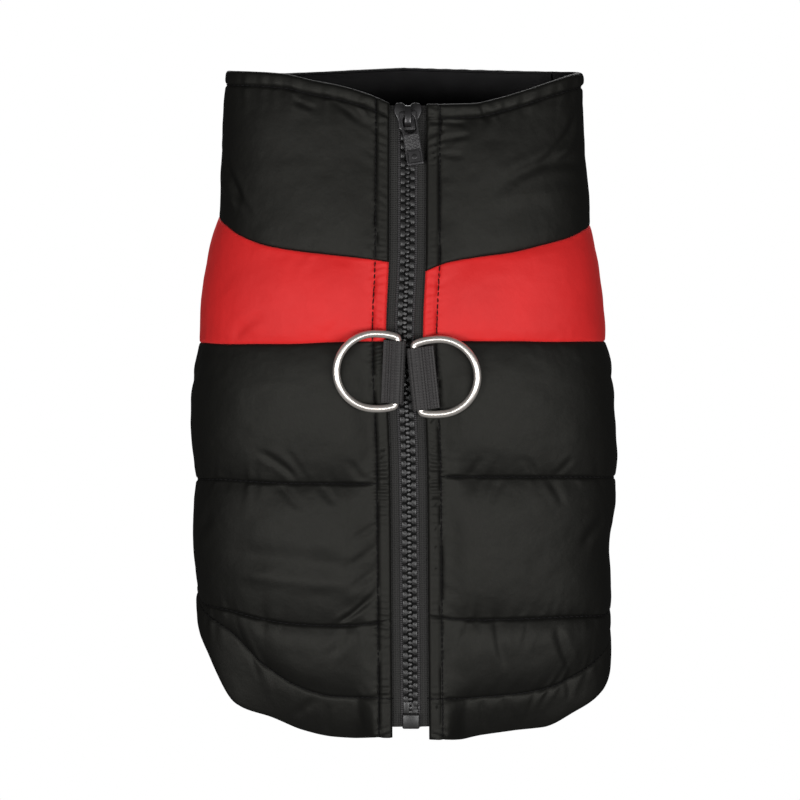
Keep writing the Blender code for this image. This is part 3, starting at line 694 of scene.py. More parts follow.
def grid_faces(rows: int, columns: int, first: int = 0, ring: bool = False,
               tube: bool = False) -> Array:
    """Faces of a grid of corners; a ring joins its columns round, and a tube its rows."""
    i, j = np.meshgrid(np.arange(rows if tube else rows - 1),
                       np.arange(columns if ring else columns - 1), indexing="ij")
    m, n = (i + 1) % rows, (j + 1) % columns
    corners = (i * columns + j, i * columns + n, m * columns + n, m * columns + j)
    return first + np.stack(corners, axis=-1).reshape(-1, 4)


def wall_faces(rows: int, columns: int, ring: bool = False) -> tuple[Array, Array]:
    """Faces of a closed wall between two grids.

    Args:
        rows: Rows of each grid.
        columns: Columns of each grid.
        ring: Whether the last column joins the first.

    Returns:
        The faces, and for each whether it is on the inner grid.
    """
    size = rows * columns
    outer = grid_faces(rows, columns, 0, ring)
    inner = grid_faces(rows, columns, size, ring)[:, ::-1]
    index = np.arange(size).reshape(rows, columns)

    def edge(line: Array) -> Array:
        """Faces that join a line of the outer grid to the inner grid."""
        return np.stack((line[1:], line[:-1], line[:-1] + size, line[1:] + size), axis=-1)

    top, low = index[0], index[-1, ::-1]
    if ring:
        top, low = np.append(top, top[0]), np.append(low, low[0])
    edges = [edge(top), edge(low)]
    if not ring:
        edges += [edge(index[::-1, 0]), edge(index[:, -1])]
    faces = np.concatenate([outer, inner, *edges])
    chosen = np.zeros(len(faces), int)
    chosen[len(outer):len(outer) + len(inner)] = 1
    return faces, chosen


def wall(name: str, outer: Array, inner: Array, finish, uv: Array | None = None,
         worn: Array | None = None, inside=None, ring: bool = False) -> bpy.types.Object:
    """Closed wall of cloth between two grids of points.

    Args:
        name: Its name.
        outer: Points of the outer face, as rows, columns and coordinates.
        inner: Points of the inner face.
        finish: Its finish.
        uv: Place of each outer point on the flat cloth.
        worn: How much wear each outer point shows; on the zip tape it is painted shade and on the
            webbing painted highlight.
        inside: Finish of the inner face, where it differs.
        ring: Whether the last column joins the first.

    Returns:
        The object.
    """
    rows, columns = outer.shape[:2]
    faces, chosen = wall_faces(rows, columns, ring)
    points = np.concatenate([outer.reshape(-1, 3), inner.reshape(-1, 3)])
    both = None if uv is None else np.concatenate([uv.reshape(-1, 2)] * 2)
    wear_and_painted_light_mask = None
    if worn is not None:
        wear_and_painted_light_mask = np.concatenate([worn.ravel(), np.zeros(worn.size)])
    if signed_volume(points, faces) < 0:
        faces = faces[:, ::-1]
    return solid(name, points, faces, finish, both, wear_and_painted_light_mask,
                 None if inside is None else (chosen, inside))


def dress(item: bpy.types.Object, body: Body, finish, *nodes: str) -> bpy.types.Object:
    """Put a piece on its body, and let it stand for CAD nodes."""
    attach(item, body.value)
    if nodes:
        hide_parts(*nodes)
    log.info("%s: %d faces", item.name, len(item.data.polygons))
    return item


# ---------------------------------------------------------------- quilted panels

@dataclass(frozen=True)
class Fold:
    """A crease laid in the cloth; a depth below zero makes a ridge."""

    STRENGTH = 0.72
    SHOULDERS = 0.30
    RUN_OUT = 0.3
    FADE = 0.5

    reach_1: float
    height_1: float
    reach_2: float
    height_2: float
    width: float
    depth: float
    bow: float = 0.0

    def depth_at(self, reach: Array, height: Array) -> Array:
        """Depth of the crease at places, with soft shoulders and ends that run out."""
        run_x, run_z = self.reach_2 - self.reach_1, self.height_2 - self.height_1
        long = math.hypot(run_x, run_z)
        dx, dz = reach - self.reach_1, height - self.height_1
        end = 1 + self.RUN_OUT
        part = np.clip((dx * run_x + dz * run_z) / long ** 2, -self.RUN_OUT, end)
        away = (dx * run_z - dz * run_x) / long - self.bow * (1 - (2 * part - 1) ** 2)
        fade = ease((part + self.RUN_OUT) / self.FADE) * ease((end - part) / self.FADE)
        valley = np.exp(-((away / self.width) ** 2))
        shoulders = np.exp(-(((np.abs(away) - 2.0 * self.width) / self.width) ** 2))
        return self.STRENGTH * self.depth * fade * (valley - self.SHOULDERS * shoulders)


# The creases that the photograph shows, and their like on the hidden side
FOLDS = {side: tuple(Fold(*row) for row in rows) for side, rows in {
    Side.LEFT: (
        (78, 92, 70, 80, 1.7, 1.9, 0.6),
        (82, 86, 73, 77, 1.5, -0.8),
        (70, 81, 65, 74, 1.3, 0.4),
        (27, 117, 16, 109, 1.1, 0.55),
        (20, 115, 13, 108, 1.0, 0.45),
        (45, 119, 38, 116, 1.1, 0.6),
        (69, 26, 58, 33, 2.0, 0.6, 0.8),
        (52, 42, 40, 34, 2.4, 0.3),
        (31, 26, 25, 33, 1.6, 0.4),
        (58, -22, 46, -31, 1.5, 0.9, 0.7),
        (48, -21, 42, -31, 1.3, 0.5),
        (23, -25, 19, -32, 1.4, 0.75),
        (35, -35, 30, -41, 1.4, 0.6),
        (52, -35, 44, -43, 1.5, 0.6),
        (72, -63, 16, -69, 3.8, 1.0, 1.5),
        (64, -71, 30, -75, 2.6, -0.5),
        (21, -55, 12, -50, 1.3, 0.6),
        (22, -65, 12, -59, 1.3, 0.55),
        (22, -75, 12, -68, 1.4, 0.6),
        (27, -89, 11, -75, 1.0, 1.3, -0.8),
        (24, -84, 15, -79, 2.6, 0.6, -1.0),
        (25, -89, 31, -102, 1.8, 0.7, 1.2),
        (20, -92, 18, -103, 1.5, 0.5),
        (40, -122, 48, -127, 1.5, 0.7),
        (34, -125, 35, -133, 1.4, 0.7),
        (22, -121, 20, -131, 1.2, 0.4),
        (84, -50, 97, -58, 2.6, 1.0, 0.8),
        (88, 98, 104, 88, 3.0, 1.3, 1.0),
        (92, 10, 108, 2, 3.0, 1.0, -0.8),
        (130, -10, 150, -22, 3.0, 1.0, 0.8),
        (160, 5, 176, 14, 2.6, 0.8, 0.5),
        (140, 105, 152, 92, 2.6, 1.0, 0.8),
    ),
    Side.RIGHT: (
        (29, 119, 32, 112, 1.2, 0.95, 0.4),
        (35, 118, 37, 112, 1.0, 0.4),
        (42, 88.4, 72, 93.5, 2.3, 1.2, -2.6),
        (40, 80, 66, 82, 2.8, -0.5, -1.0),
        (55, 95, 70, 111, 1.8, 1.0, 1.2),
        (64, 95, 76, 107, 1.8, 0.4, 1.0),
        (14, 111, 22, 110, 1.0, 0.5),
        (14, 104, 23, 105, 1.1, 0.6),
        (14, 98, 21, 97, 1.0, 0.5),
        (28, -24, 25, -30, 1.2, 0.5),
        (47, -24, 51, -30, 1.3, 0.5),
        (66, -25, 60, -31, 1.3, 0.5),
        (36, -34, 33, -41, 1.3, 0.5),
        (58, -34, 62, -42, 1.4, 0.5),
        (82, -51, 72, -59, 2.2, 0.9, 0.8),
        (86, -46, 92, -56, 1.8, 0.8),
        (35, -88, 37.5, -105, 1.7, 1.1, 0.7),
        (60, -95, 67, -110, 1.8, 1.1, 0.8),
        (20, -91, 17, -101, 1.4, 0.5),
        (48, -90, 46, -99, 1.4, 0.4),
        (29, -122, 31, -131, 1.4, 0.8),
        (40, -122, 45, -132, 1.5, 0.9, 0.5),
        (52, -119, 50, -128, 1.2, 0.5),
        (66, -112, 68, -121, 1.3, 0.6),
        (90, 96, 106, 104, 3.0, 1.2, -1.0),
        (94, 4, 110, 12, 3.0, 1.0, 0.8),
        (132, -14, 150, -6, 3.0, 1.0, -0.8),
        (120, 110, 134, 100, 2.6, 0.9, 0.8),
    ),
}.items()}


@dataclass(frozen=True)
class Strip:
    """A part of a panel between two lines, from the upper to the lower."""

    upper: str
    lower: str
    swell: float
    rows: int
    upper_drop: float = 0.0
    lower_drop: float = 0.0
    stitched_above: bool = False
    stitched_below: bool = False
    gathered: bool = False


def neck_strips(last: str, swell: float, rows: int) -> list[Strip]:
    """The turned neck hem and the padded cloth below it."""
    return [
        Strip("neck", "neck", 0.9, 8, 0.0, NECK_HEM, stitched_below=True, gathered=True),
        Strip("neck", last, swell, rows, NECK_HEM, 0.0, stitched_above=True, gathered=True),
    ]


def quilted(upper: str, lower: str, swell: float, rows: int, above: bool = True) -> Strip:
    """A padded row that is stitched below, and above unless it starts at a plain seam."""
    return Strip(upper, lower, swell, rows, stitched_above=above, stitched_below=True)


HEM_STRIP = Strip("hem_stitch", "hem", 1.2, 16, stitched_above=True)


@dataclass(frozen=True)
class LegHole:
    """Oval hole in the belly for a front leg."""

    FAR = 100.0
    CUT_MIDDLE = 40
    CUT_DEPTH = 60

    side: Side
    x: float = 44.0
    height: float = 66.0
    half_width: float = 20.0
    half_height: float = 25.0

    def round_unit(self, points: Array) -> tuple[Array, Array]:
        """Points as places across and up, where the cut edge is a circle of radius 1."""
        return ((points[..., 0] - self.side.value * self.x) / self.half_width,
                (points[..., 2] - self.height) / self.half_height)

    def away(self, points: Array) -> Array:
        """Rough distance of points outside the cut edge, and below zero inside it."""
        far = (np.hypot(*self.round_unit(points)) - 1) * (self.half_width + self.half_height) / 2
        return np.where(points[..., 1] > 0, far, self.FAR)

    def along(self, points: Array) -> Array:
        """Distance along the cut edge."""
        across, up = self.round_unit(points)
        return np.arctan2(up, across) * (self.half_width + self.half_height) / 2


LEG_HOLES = tuple(LegHole(side) for side in Side)


@dataclass
class ClothRelief:
    """How far the cloth stands out of the seams' face, and its small unevenness.

    Depths, widths and pitches are in millimetres; a share or span is of the way round.
    """

    rise: float = 13.0
    side_press: float = 0.42
    side_span: float = 0.3
    full_row: float = 24.0
    uneven: float = 0.12
    sink: float = 0.55
    sink_width: float = 0.6
    zip_sink: float = 1.0
    zip_sink_width: float = 0.5
    strip_swell: float = 0.55
    pucker_depth: float = 0.9
    pucker_fade: float = 4.2
    seam_pucker: float = 0.22
    ripple: float = 0.32
    ripple_pitch: float = 2.9
    tuck_row: float = 4.2
    tuck_hem: float = 7.0
    tuck_share: float = 0.4
    tuck_fade: float = 0.5
    tuck_reach: float = 13.2
    tuck_rise: float = 11.0
    tuck_lift: float = 0.22
    gather_depth: float = 0.42
    gather_pitch: float = 7.4
    gather_left: float = 0.3
    roll: float = 0.9
    corner: float = 2.4
    corner_share: float = 0.74
    corner_span: float = 0.17
    slow: Wander = field(default_factory=lambda: Wander(11, 24.0, 19.0))
    quick: Wander = field(default_factory=lambda: Wander(12, 8.5, 6.5))
    tiny: Wander = field(default_factory=lambda: Wander(13, 3.6, 3.1))
    gathers: Wander = field(default_factory=lambda: Wander(14, 2.7, 9.0))
    masks: Wander = field(default_factory=lambda: Wander(15, 21.0, 13.0))
    slants: Wander = field(default_factory=lambda: Wander(16, 17.0, 40.0))

    @staticmethod
    def pillow(v: Array) -> Array:
        """Section of a quilted row: steep at its stitches and full between them."""
        return (1 - np.abs(2 * v - 1) ** 2.6) ** 0.92

    def rolled(self, distance: Array) -> Array:
        """Drop of the cloth where it turns over at an edge."""
        near = np.clip(self.roll - distance, 0, self.roll)
        return self.roll - np.sqrt(self.roll ** 2 - near ** 2)

    def puckers(self, along: Array, away: Array, line: float) -> Array:
        """Small gathers that run away from a stitched line.

        Args:
            along: Distance along the line.
            away: Distance from the line, with its sign.
            line: A number of the line's own, so that no two lines are the same.

        Returns:
            Relief from about -1 to 1.
        """
        slanted = along + self.slants(along, line * 31.7) * away * 0.9
        waves = self.gathers(slanted, line * 17.3)
        strength = 0.45 + 0.55 * ease(self.masks(along, line * 11.9) * 1.6 + 0.4)
        distance = np.abs(away)
        fade = np.exp(-distance / self.pucker_fade) * (0.25 + 0.75 * ease(distance / 1.6))
        return waves * strength * fade

    def rippled(self, side: Side, reach: Array, height: Array) -> Array:
        """Slanting ripples that the topstitching pulls into the strip beside the zip."""
        inside = ease((reach - EDGE - 0.4) / 1.2) * ease((STRIP + 2.2 - reach) / 2.0)
        slant = 0.5 * (reach - STRIP) * self.slants(height, 4.0 * side.value)
        waves = np.sin(2 * math.pi * (height + slant) / self.ripple_pitch
                       + 2.5 * self.quick(height, 9.0 + side.value))
        strength = 0.25 + 0.75 * ease(self.masks(height, 13.0 * side.value) * 1.4 + 0.4)
        return self.ripple * waves * strength * inside

    def shallow(self, signed: Array, height: Array) -> Array:
        """Slow and quick waves of soft cloth."""
        return (0.34 * self.slow(signed, height) + 0.16 * self.quick(signed, height)
                + 0.05 * self.tiny(signed, height))


@dataclass(frozen=True)
class Grid:
    """Places of a panel's corners, as tables over rows and columns.

    Top and low are the heights of the lines above and below a corner's strip, v is the
    way down from one to the other, and strip is the strip's number.
    """

    height: Array
    reach: Array
    seam: Array
    top: Array
    low: Array
    v: Array
    sign: Array
    share: Array
    strip: Array

    @property
    def signed(self) -> Array:
        """Reach, below zero on the left side."""
        return self.sign * self.reach


@dataclass
class QuiltedPanel:
    """One cut piece of padded cloth as a closed wall."""

    name: str
    finish: ClothFinish
    strips: list[Strip]
    sides: list[Side]
    shares: list[Array]
    beyond_seam: int
    relief: ClothRelief
    wall: float = WALL

    @classmethod
    def beside_zip(cls, name: str, side: Side, finish: ClothFinish, strips: list[Strip],
                   columns: int, relief: ClothRelief) -> QuiltedPanel:
        """Panel from the zip's edge to the side seam."""
        edge = np.array([0.0, 0.0018, 0.0045, 0.0085])
        share = np.concatenate([edge, np.linspace(0.0135, SIDE_SEAM - 0.011, columns),
                                SIDE_SEAM - np.array([0.0065, 0.0028, 0.0])])
        return cls(f"{name}_{side.word}", finish, strips, [side], [share], -1, relief)

    @classmethod
    def belly(cls, finish: ClothFinish, strips: list[Strip], columns: int,
              relief: ClothRelief) -> QuiltedPanel:
        """Panel from the left side seam across the belly to the right one."""
        half = np.concatenate([SIDE_SEAM + np.array([0.0, 0.0028, 0.0065]),
                               np.linspace(SIDE_SEAM + 0.011, BELLY, columns)])
        return cls("belly", finish, strips, list(Side), [half, half[-2::-1]], 1, relief)

    def grid(self) -> Grid:
        """Places of all corners of the panel."""
        signs = np.concatenate([np.full(len(share), float(side.value))
                                for side, share in zip(self.sides, self.shares)])
        share = np.concatenate(self.shares)
        tops, lows, ways, numbers = [], [], [], []
        for number, strip in enumerate(self.strips):
            top = self._line(strip.upper) - strip.upper_drop
            low = self._line(strip.lower) - strip.lower_drop
            first, last = number == 0, number == len(self.strips) - 1
            t = np.linspace(0, 1, strip.rows + 1)[:None if last else -1]
            way = t - 0.5 * np.sin(2 * math.pi * t) / (2 * math.pi)
            room = float(np.mean(top - low))
            if first:
                way = np.concatenate([[0.0, 0.22 / room, 0.6 / room], np.maximum(
                    way[1:], 1.0 / room + way[1:] * (1 - 1.0 / room))])
            if last:
                way = np.concatenate([np.minimum(way[:-1], way[:-1] * (1 - 1.0 / room)),
                                      [1 - 0.6 / room, 1 - 0.22 / room, 1.0]])
            for v in way:
                tops.append(top)
                lows.append(low)
                ways.append(np.full_like(share, v))
                numbers.append(np.full(len(share), number))
        top, low, v = np.array(tops), np.array(lows), np.array(ways)
        height = top + (low - top) * v
        height[0] += OVERLAP / 2 if self.strips[0].upper != "neck" else 0.0
        height[-1] -= OVERLAP / 2 if self.strips[-1].lower != "hem" else 0.0
        reach = np.zeros_like(height)
        seam = np.zeros_like(height)
        start = 0
        for side, part in zip(self.sides, self.shares):
            columns = slice(start, start + len(part))
            reach[:, columns] = FORM.reach(side, part[None, :], height[:, columns])
            seam[:, columns] = FORM.reach(side, np.array([SIDE_SEAM]), height[:, columns])
            start += len(part)
        reach = np.where(np.isclose(share[None, :], SIDE_SEAM),
                         reach - self.beyond_seam * OVERLAP / 2, reach)
        return Grid(height, reach, seam, top, low, v, np.broadcast_to(signs, height.shape),
                    np.broadcast_to(share, height.shape), np.array(numbers))

    def _line(self, name: str) -> Array:
        """Height of a line at every column."""
        return np.concatenate([FORM.line(side, name, share)
                               for side, share in zip(self.sides, self.shares)])

    def out(self, at: Grid) -> Array:
        """Distance of the outer face outside the seams' face."""
        relief = self.relief
        height, reach, signed = at.height, at.reach, at.signed
        strip = np.array([s.swell for s in self.strips])[at.strip]
        room = np.minimum(1.0, (at.top - at.low) / relief.full_row)
        hem = strip < 1.5
        room = np.where(hem, 1.0, room)
        uneven = 1 + relief.uneven * relief.slow(signed + 90, height)
        beside_zip = ease((reach - STRIP) / relief.rise)
        from_seam = np.abs(reach - at.seam)
        free = np.where(hem, ease((reach - STRIP + 3) / 6) * 0.6 + 0.4, beside_zip)
        free = free * np.where(hem, 0.3 + 0.7 * ease(from_seam / 4), ease(from_seam / relief.rise))
        pressed = 1 - relief.side_press * np.exp(-(((at.share - 1) / relief.side_span) ** 2))
        puffed = strip * room * uneven * relief.pillow(at.v) * free * pressed
        soft = ease(puffed / 1.2)
        out = puffed + soft * relief.shallow(signed, height)
        out += relief.strip_swell * ease((STRIP - reach) / 2.0) * ease((reach - EDGE) / 1.2)
        out += self._stitched(at, signed)
        if len(self.sides) == 1:
            line = STRIP + 0.35 * relief.quick(signed * 0.2, height)
            out -= relief.zip_sink * np.exp(-(((reach - line) / relief.zip_sink_width) ** 2))
            out += relief.rippled(self.sides[0], reach, height)
            beside = relief.puckers(height, reach - STRIP, 5 + self.sides[0].value)
            out += 0.6 * relief.pucker_depth * beside * ease((reach - STRIP) / 1.0)
        creases = np.zeros_like(out)
        for side in Side:
            here = at.sign == side.value
            if here.any():
                for fold in FOLDS[side]:
                    creases += np.where(here, fold.depth_at(reach, height), 0.0)
        creases *= 1 - ease((STRIP + 1.5 - reach) / 2.0)
        out -= np.minimum(creases, 0.85 * np.maximum(puffed, 0) + 0.4)
        out += self._gathered(at, signed)
        if len(self.sides) == 2:
            points = FORM.place(signed, height)
            for hole in LEG_HOLES:
                away = np.maximum(hole.away(points), 0.0)
                out = np.minimum(out, out * ease(away / 9.0) + 0.1)
                out += 0.8 * relief.pucker_depth * relief.puckers(
                    hole.along(points), away + 0.8, 9 + hole.side.value)
        out -= relief.rolled(from_seam)
        out -= relief.rolled(reach - EDGE)
        out -= relief.rolled(at.height[0] - height) + relief.rolled(height - at.height[-1])
        return out

    def tucked(self, at: Grid) -> Array | float:
        """How far the low row and the hem turn in under the vest."""
        if self.strips[-1].lower != "hem":
            return 0.0
        rows, hem = (self._line(name) for name in ("quilt_2", "hem_stitch"))
        low = np.clip((rows - at.height) / (rows - hem), 0, 1)
        edge = np.clip((hem - at.height) / (hem - self._line("hem")), 0, 1)
        relief = self.relief
        front = 1 - ease((at.share - relief.tuck_share) / relief.tuck_fade)
        front = front * ease((at.reach - relief.tuck_reach) / relief.tuck_rise)
        return front * (relief.tuck_row * low ** 1.6 + relief.tuck_hem * edge ** 1.2)

    def rounded(self, at: Grid) -> Array | float:
        """How far the full corner beside the leg side hangs below its line."""
        if self.strips[-1].lower != "hem" or len(self.sides) == 2:
            return 0.0
        top, hem = self._line("quilt_2"), self._line("hem")
        low = np.clip((top - at.height) / (top - hem), 0, 1)
        relief = self.relief
        near = np.exp(-(((at.share - relief.corner_share) / relief.corner_span) ** 2))
        return relief.corner * low ** 2 * near

    def _stitched(self, at: Grid, signed: Array) -> Array:
        """Sunk stitches and the puckers beside them and beside the seams."""
        relief = self.relief
        total = np.zeros_like(signed)
        for number, strip in enumerate(self.strips):
            here = at.strip == number
            for stitched, name, away in (
                (strip.stitched_above, strip.upper, at.top - at.height),
                (strip.stitched_below, strip.lower, at.height - at.low),
            ):
                way = -1.0 if name == strip.upper else 1.0
                depth = relief.pucker_depth if stitched else relief.seam_pucker
                pucker = depth * relief.puckers(signed, way * away, LINE_NAMES.index(name))
                beside_strip = ease((at.reach - STRIP) / 3.0)
                sunk = relief.sink if stitched else 0.0
                sunk = sunk * np.exp(-((away / relief.sink_width) ** 2))
                total += np.where(here, pucker * beside_strip - sunk, 0.0)
        return total

    def _gathered(self, at: Grid, signed: Array) -> Array:
        """Waves where the elastic draws the neck in."""
        relief = self.relief
        gathered = np.array([s.gathered for s in self.strips])[at.strip]
        below = at.height[0] - at.height
        fade = np.exp(-np.maximum(below - NECK_HEM, 0) / 6.0)
        away = ease((at.reach - STRIP) / 14)
        pitch = relief.gather_pitch
        phase = signed / pitch + 0.7 * relief.slow(signed, 7.0) + 0.02 * below
        waves = np.sin(2 * math.pi * phase) * (0.6 + 0.4 * relief.masks(signed, 3.0))
        away = away * np.where(at.sign < 0, relief.gather_left, 1.0)
        return np.where(gathered, relief.gather_depth * waves * fade * away, 0.0)

    def worn(self, at: Grid) -> Array:
        """How much wear the cloth shows: most at its turned edges."""
        ends = [np.abs(at.height - at.height[0]), np.abs(at.height - at.height[-1]),
                np.abs(at.reach - EDGE)]
        return np.clip(np.exp(-np.minimum.reduce(ends) / 0.8), 0, 1)

    def sewn_rows(self) -> list[Line]:
        """Lines of stitches across the panel, once it is built."""
        lines = []
        for number, strip in enumerate(self.strips):
            if strip.stitched_below:
                row = int(np.flatnonzero(self.at.strip[:, 0] == number + 1)[0])
                kept = self.at.reach[row] > (0.0 if strip.lower == "hem_stitch" else STRIP)
                normals = FORM.outward(self.at.signed[row, kept], self.at.height[row, kept])
                lines.append((self.outer[row, kept], normals))
        return lines

    def sewn_edge(self) -> list[Line]:
        """Line of stitches beside the zip, once the panel is built."""
        points, heights = [], []
        for row, reach in enumerate(self.at.reach):
            points.append([np.interp(STRIP, reach, line) for line in self.outer[row].T])
            heights.append(np.interp(STRIP, reach, self.at.height[row]))
        signed = np.full(len(points), self.sides[0].value * STRIP)
        kept = slice(4, -4)
        return [(np.array(points)[kept], FORM.outward(signed, np.array(heights))[kept])]

    def build(self) -> bpy.types.Object:
        """Make the panel's wall."""
        at = self.grid()
        signed = at.signed
        under = self.tucked(at)
        out = self.out(at) - under
        lift = self.relief.rolled(at.reach - EDGE) - under
        seen = at.height - self.relief.tuck_lift * under - self.rounded(at)
        outer = FORM.place(signed, seen, out)
        inner = FORM.place(signed, seen, np.minimum(-self.wall + lift, out - 0.15))
        self.at, self.outer = at, outer
        uv = stacked(signed, at.height)
        return wall(f"{self.name}_cloth", outer, inner, self.finish, uv, self.worn(at), LINING)


@dataclass
class ClothPanels:
    """The seven cut pieces of the shell, and the lining that shows at the neck."""

    yoke_swell: float = 2.4
    band_swell: float = 2.4
    row_swell: float = 3.9
    low_swell: float = 2.9
    lining: float = 0.6
    lining_depth: float = 30.0
    lining_sag: float = 0.8
    allowance: float = 0.97
    relief: ClothRelief = field(default_factory=ClothRelief)

    def shoulder_strips(self) -> list[Strip]:
        """Rows of a shoulder."""
        return neck_strips("band_top", self.yoke_swell, 66)

    def band_strips(self) -> list[Strip]:
        """The one row of a red band."""
        return [Strip("band_top", "band_low", self.band_swell, 44)]

    def body_strips(self) -> list[Strip]:
        """Rows of the lower body, and its hem."""
        return [
            quilted("band_low", "quilt_1", self.row_swell, 68, above=False),
            quilted("quilt_1", "quilt_2", self.row_swell, 66),
            quilted("quilt_2", "hem_stitch", self.low_swell, 34),
            HEM_STRIP,
        ]

    def belly_strips(self) -> list[Strip]:
        """Rows of the belly."""
        return neck_strips("band_top", self.yoke_swell, 44) + [
            quilted("band_top", "band_low", self.row_swell, 40),
            quilted("band_low", "quilt_1", self.row_swell, 44),
            quilted("quilt_1", "hem_stitch", self.low_swell, 10),
            HEM_STRIP,
        ]

    def build(self, rows: RowTree) -> None:
        """Make and dress all panels, and sew them."""
        lines: list[Line] = []
        for side in Side:
            for piece, strips, columns, finish, flat in (
                ("shoulder", self.shoulder_strips(), 118, BLACK_NYLON, (0.108, 0.080)),
                ("band", self.band_strips(), 118, RED_NYLON, (0.110, 0.052)),
                ("body", self.body_strips(), 124, BLACK_NYLON, (0.116, 0.164)),
            ):
                panel = QuiltedPanel.beside_zip(piece, side, finish, strips, columns, self.relief)
                item = dress(panel.build(), Body.VEST, finish, panel.name)
                lines += panel.sewn_rows() + panel.sewn_edge()
        lines += self.build_belly()
        self.build_lining()
        form = thread_form(length=2.5, thick=0.46)
        item = rows.along("shell_stitches", lines, form, THREAD, pitch=2.45, uneven=0.10, seed=5)
        dress(item, Body.VEST, THREAD)

    def build_belly(self) -> list[Line]:
        """Make the belly with its two leg holes, and give its lines of stitches."""
        panel = QuiltedPanel.belly(BLACK_NYLON, self.belly_strips(), 62, self.relief)
        item = panel.build()
        for hole in LEG_HOLES:
            self._cut(item, hole)
        item = dress(item, Body.VEST, BLACK_NYLON, "belly")
        lines = []
        for points, normals in panel.sewn_rows():
            clear = np.minimum.reduce([hole.away(points) for hole in LEG_HOLES]) > 2.0
            for run in np.split(np.arange(len(points)), np.flatnonzero(np.diff(clear)) + 1):
                if clear[run[0]] and len(run) > 3:
                    lines.append((points[run], normals[run]))
        return lines

    def _cut(self, item: bpy.types.Object, hole: LegHole) -> None:
        """Cut a leg hole through the belly."""
        mesh = bpy.data.meshes.new("leg_cutter")
        form = bmesh.new()
        turned = (Matrix.Translation(Vector((hole.side.value * hole.x, hole.CUT_MIDDLE,
                                             hole.height)) * MM)
                  @ Matrix.Diagonal((hole.half_width, 1, hole.half_height, 1))
                  @ Matrix.Rotation(math.pi / 2, 4, "X"))
        bmesh.ops.create_cone(form, cap_ends=True, segments=96, radius1=MM, radius2=MM,
                              depth=hole.CUT_DEPTH * MM, matrix=turned)
        bmesh.ops.recalc_face_normals(form, faces=form.faces[:])
        form.to_mesh(mesh)
        form.free()
        mesh.materials.append(Palette.of(LINING))
        cutter = linked("leg_cutter", mesh)
        cut = item.modifiers.new("leg hole", "BOOLEAN")
        cut.object, cut.solver = cutter, "EXACT"
        result = evaluated(item)
        item.modifiers.clear()
        item.data = result
        bpy.data.objects.remove(cutter)

    def build_lining(self) -> None:
        """Lining that shows inside the neck, creased by the elastic."""
        half = 80
        share = np.linspace(SIDE_SEAM, BELLY, half)
        signs = np.concatenate([np.full(half, -1.0), np.full(half - 1, 1.0)])
        height_top = np.concatenate([FORM.line(Side.LEFT, "neck", share),
                                     FORM.line(Side.RIGHT, "neck", share[-2::-1])]) - 0.8
        down = np.linspace(0, self.lining_depth, 34)
        height = height_top[None, :] - down[:, None]
        reach = np.concatenate([FORM.reach(Side.LEFT, share[None, :], height[:, :half]),
                                FORM.reach(Side.RIGHT, share[None, -2::-1], height[:, half:])],
                               axis=1)
        signed = reach * signs
        leaning = signed + 0.5 * height * self.relief.slow(signed * 0.7, 4.0)
        folds = self.relief.gathers(leaning / 2.6, 3.0)
        folds += self.relief.quick(signed * 1.3, height * 0.4) * 0.6
        sag = ease((down[:, None] - 1.0) / 8.0) * ease((self.lining_depth - down[:, None]) / 6)
        out = -WALL - GAP - 0.3 - (0.55 + folds) * sag * self.lining_sag
        outer = FORM.place(signed, height, out)
        inner = FORM.place(signed, height, out - self.lining)
        uv = stacked(signed, height)
        item = wall("neck_lining_cloth", outer, inner, LINING, uv)
        dress(item, Body.VEST, LINING, "neck_lining")

    def area(self, item: bpy.types.Object, flat: Pair) -> float:
        """Flat area of a panel, which is half of its closed wall's surface."""
        total = sum(face.area for face in item.data.polygons) / 2
        return min(total * self.allowance, flat[0] * flat[1])


@dataclass
class LegBindings:
    """Elastic binding sewn round the cut edge of each leg hole."""

    inset: float = 2.2
    half_width: float = 2.5
    middle: float = -1.0
    half_depth: float = 3.1
    turns: int = 240
    section: int = 22
    ripples: int = 58
    ripple: float = 0.16

    def build(self) -> None:
        """Make and dress both bindings."""
        for hole in LEG_HOLES:
            name = f"leg_binding_{hole.side.word}"
            item = dress(self.ring(f"{name}_band", hole), Body.VEST, BINDING, name)

    def ring(self, name: str, hole: LegHole) -> bpy.types.Object:
        """Rounded band along an oval, drawn into small ripples."""
        turn = np.linspace(0, 2 * math.pi, self.turns, endpoint=False)[:, None]
        corner = np.linspace(0, 2 * math.pi, self.section, endpoint=False)[None, :]
        wide = np.sign(np.cos(corner)) * np.abs(np.cos(corner)) ** 0.7
        deep = np.sign(np.sin(corner)) * np.abs(np.sin(corner)) ** 0.7
        ripple = 1 + self.ripple * np.sin(self.ripples * turn) * (0.5 + 0.5 * np.abs(deep))
        inset = self.inset - wide * self.half_width * ripple
        x = hole.side.value * hole.x + (hole.half_width - inset) * np.cos(turn)
        height = hole.height + (hole.half_height - inset) * np.sin(turn)
        belly = self.belly_y(x, height)
        y = belly + self.middle + deep * self.half_depth * (1 + 0.3 * (ripple - 1))
        points = stacked(x, y, height)
        faces = grid_faces(*points.shape[:2], ring=True, tube=True)
        around = np.broadcast_to(turn * (hole.half_width + hole.half_height) / 2, x.shape)
        across = np.broadcast_to(corner * self.half_depth, x.shape)
        uv = stacked(around, across).reshape(-1, 2)
        return solid(name, points.reshape(-1, 3), faces, BINDING, uv)

    @staticmethod
    def belly_y(x: Array, height: Array) -> Array:
        """Y of the seams' face on the belly side."""
        centre, half = FORM.sizes["centre"](height), FORM.sizes["half_width"](height)
        across = np.clip(np.abs(x - centre) / half, 0, 0.999) ** FORM.ROUNDNESS
        return FORM.sizes["back"](height) * (1 - across) ** (1 / FORM.ROUNDNESS)


# ---------------------------------------------------------------- rows of small things

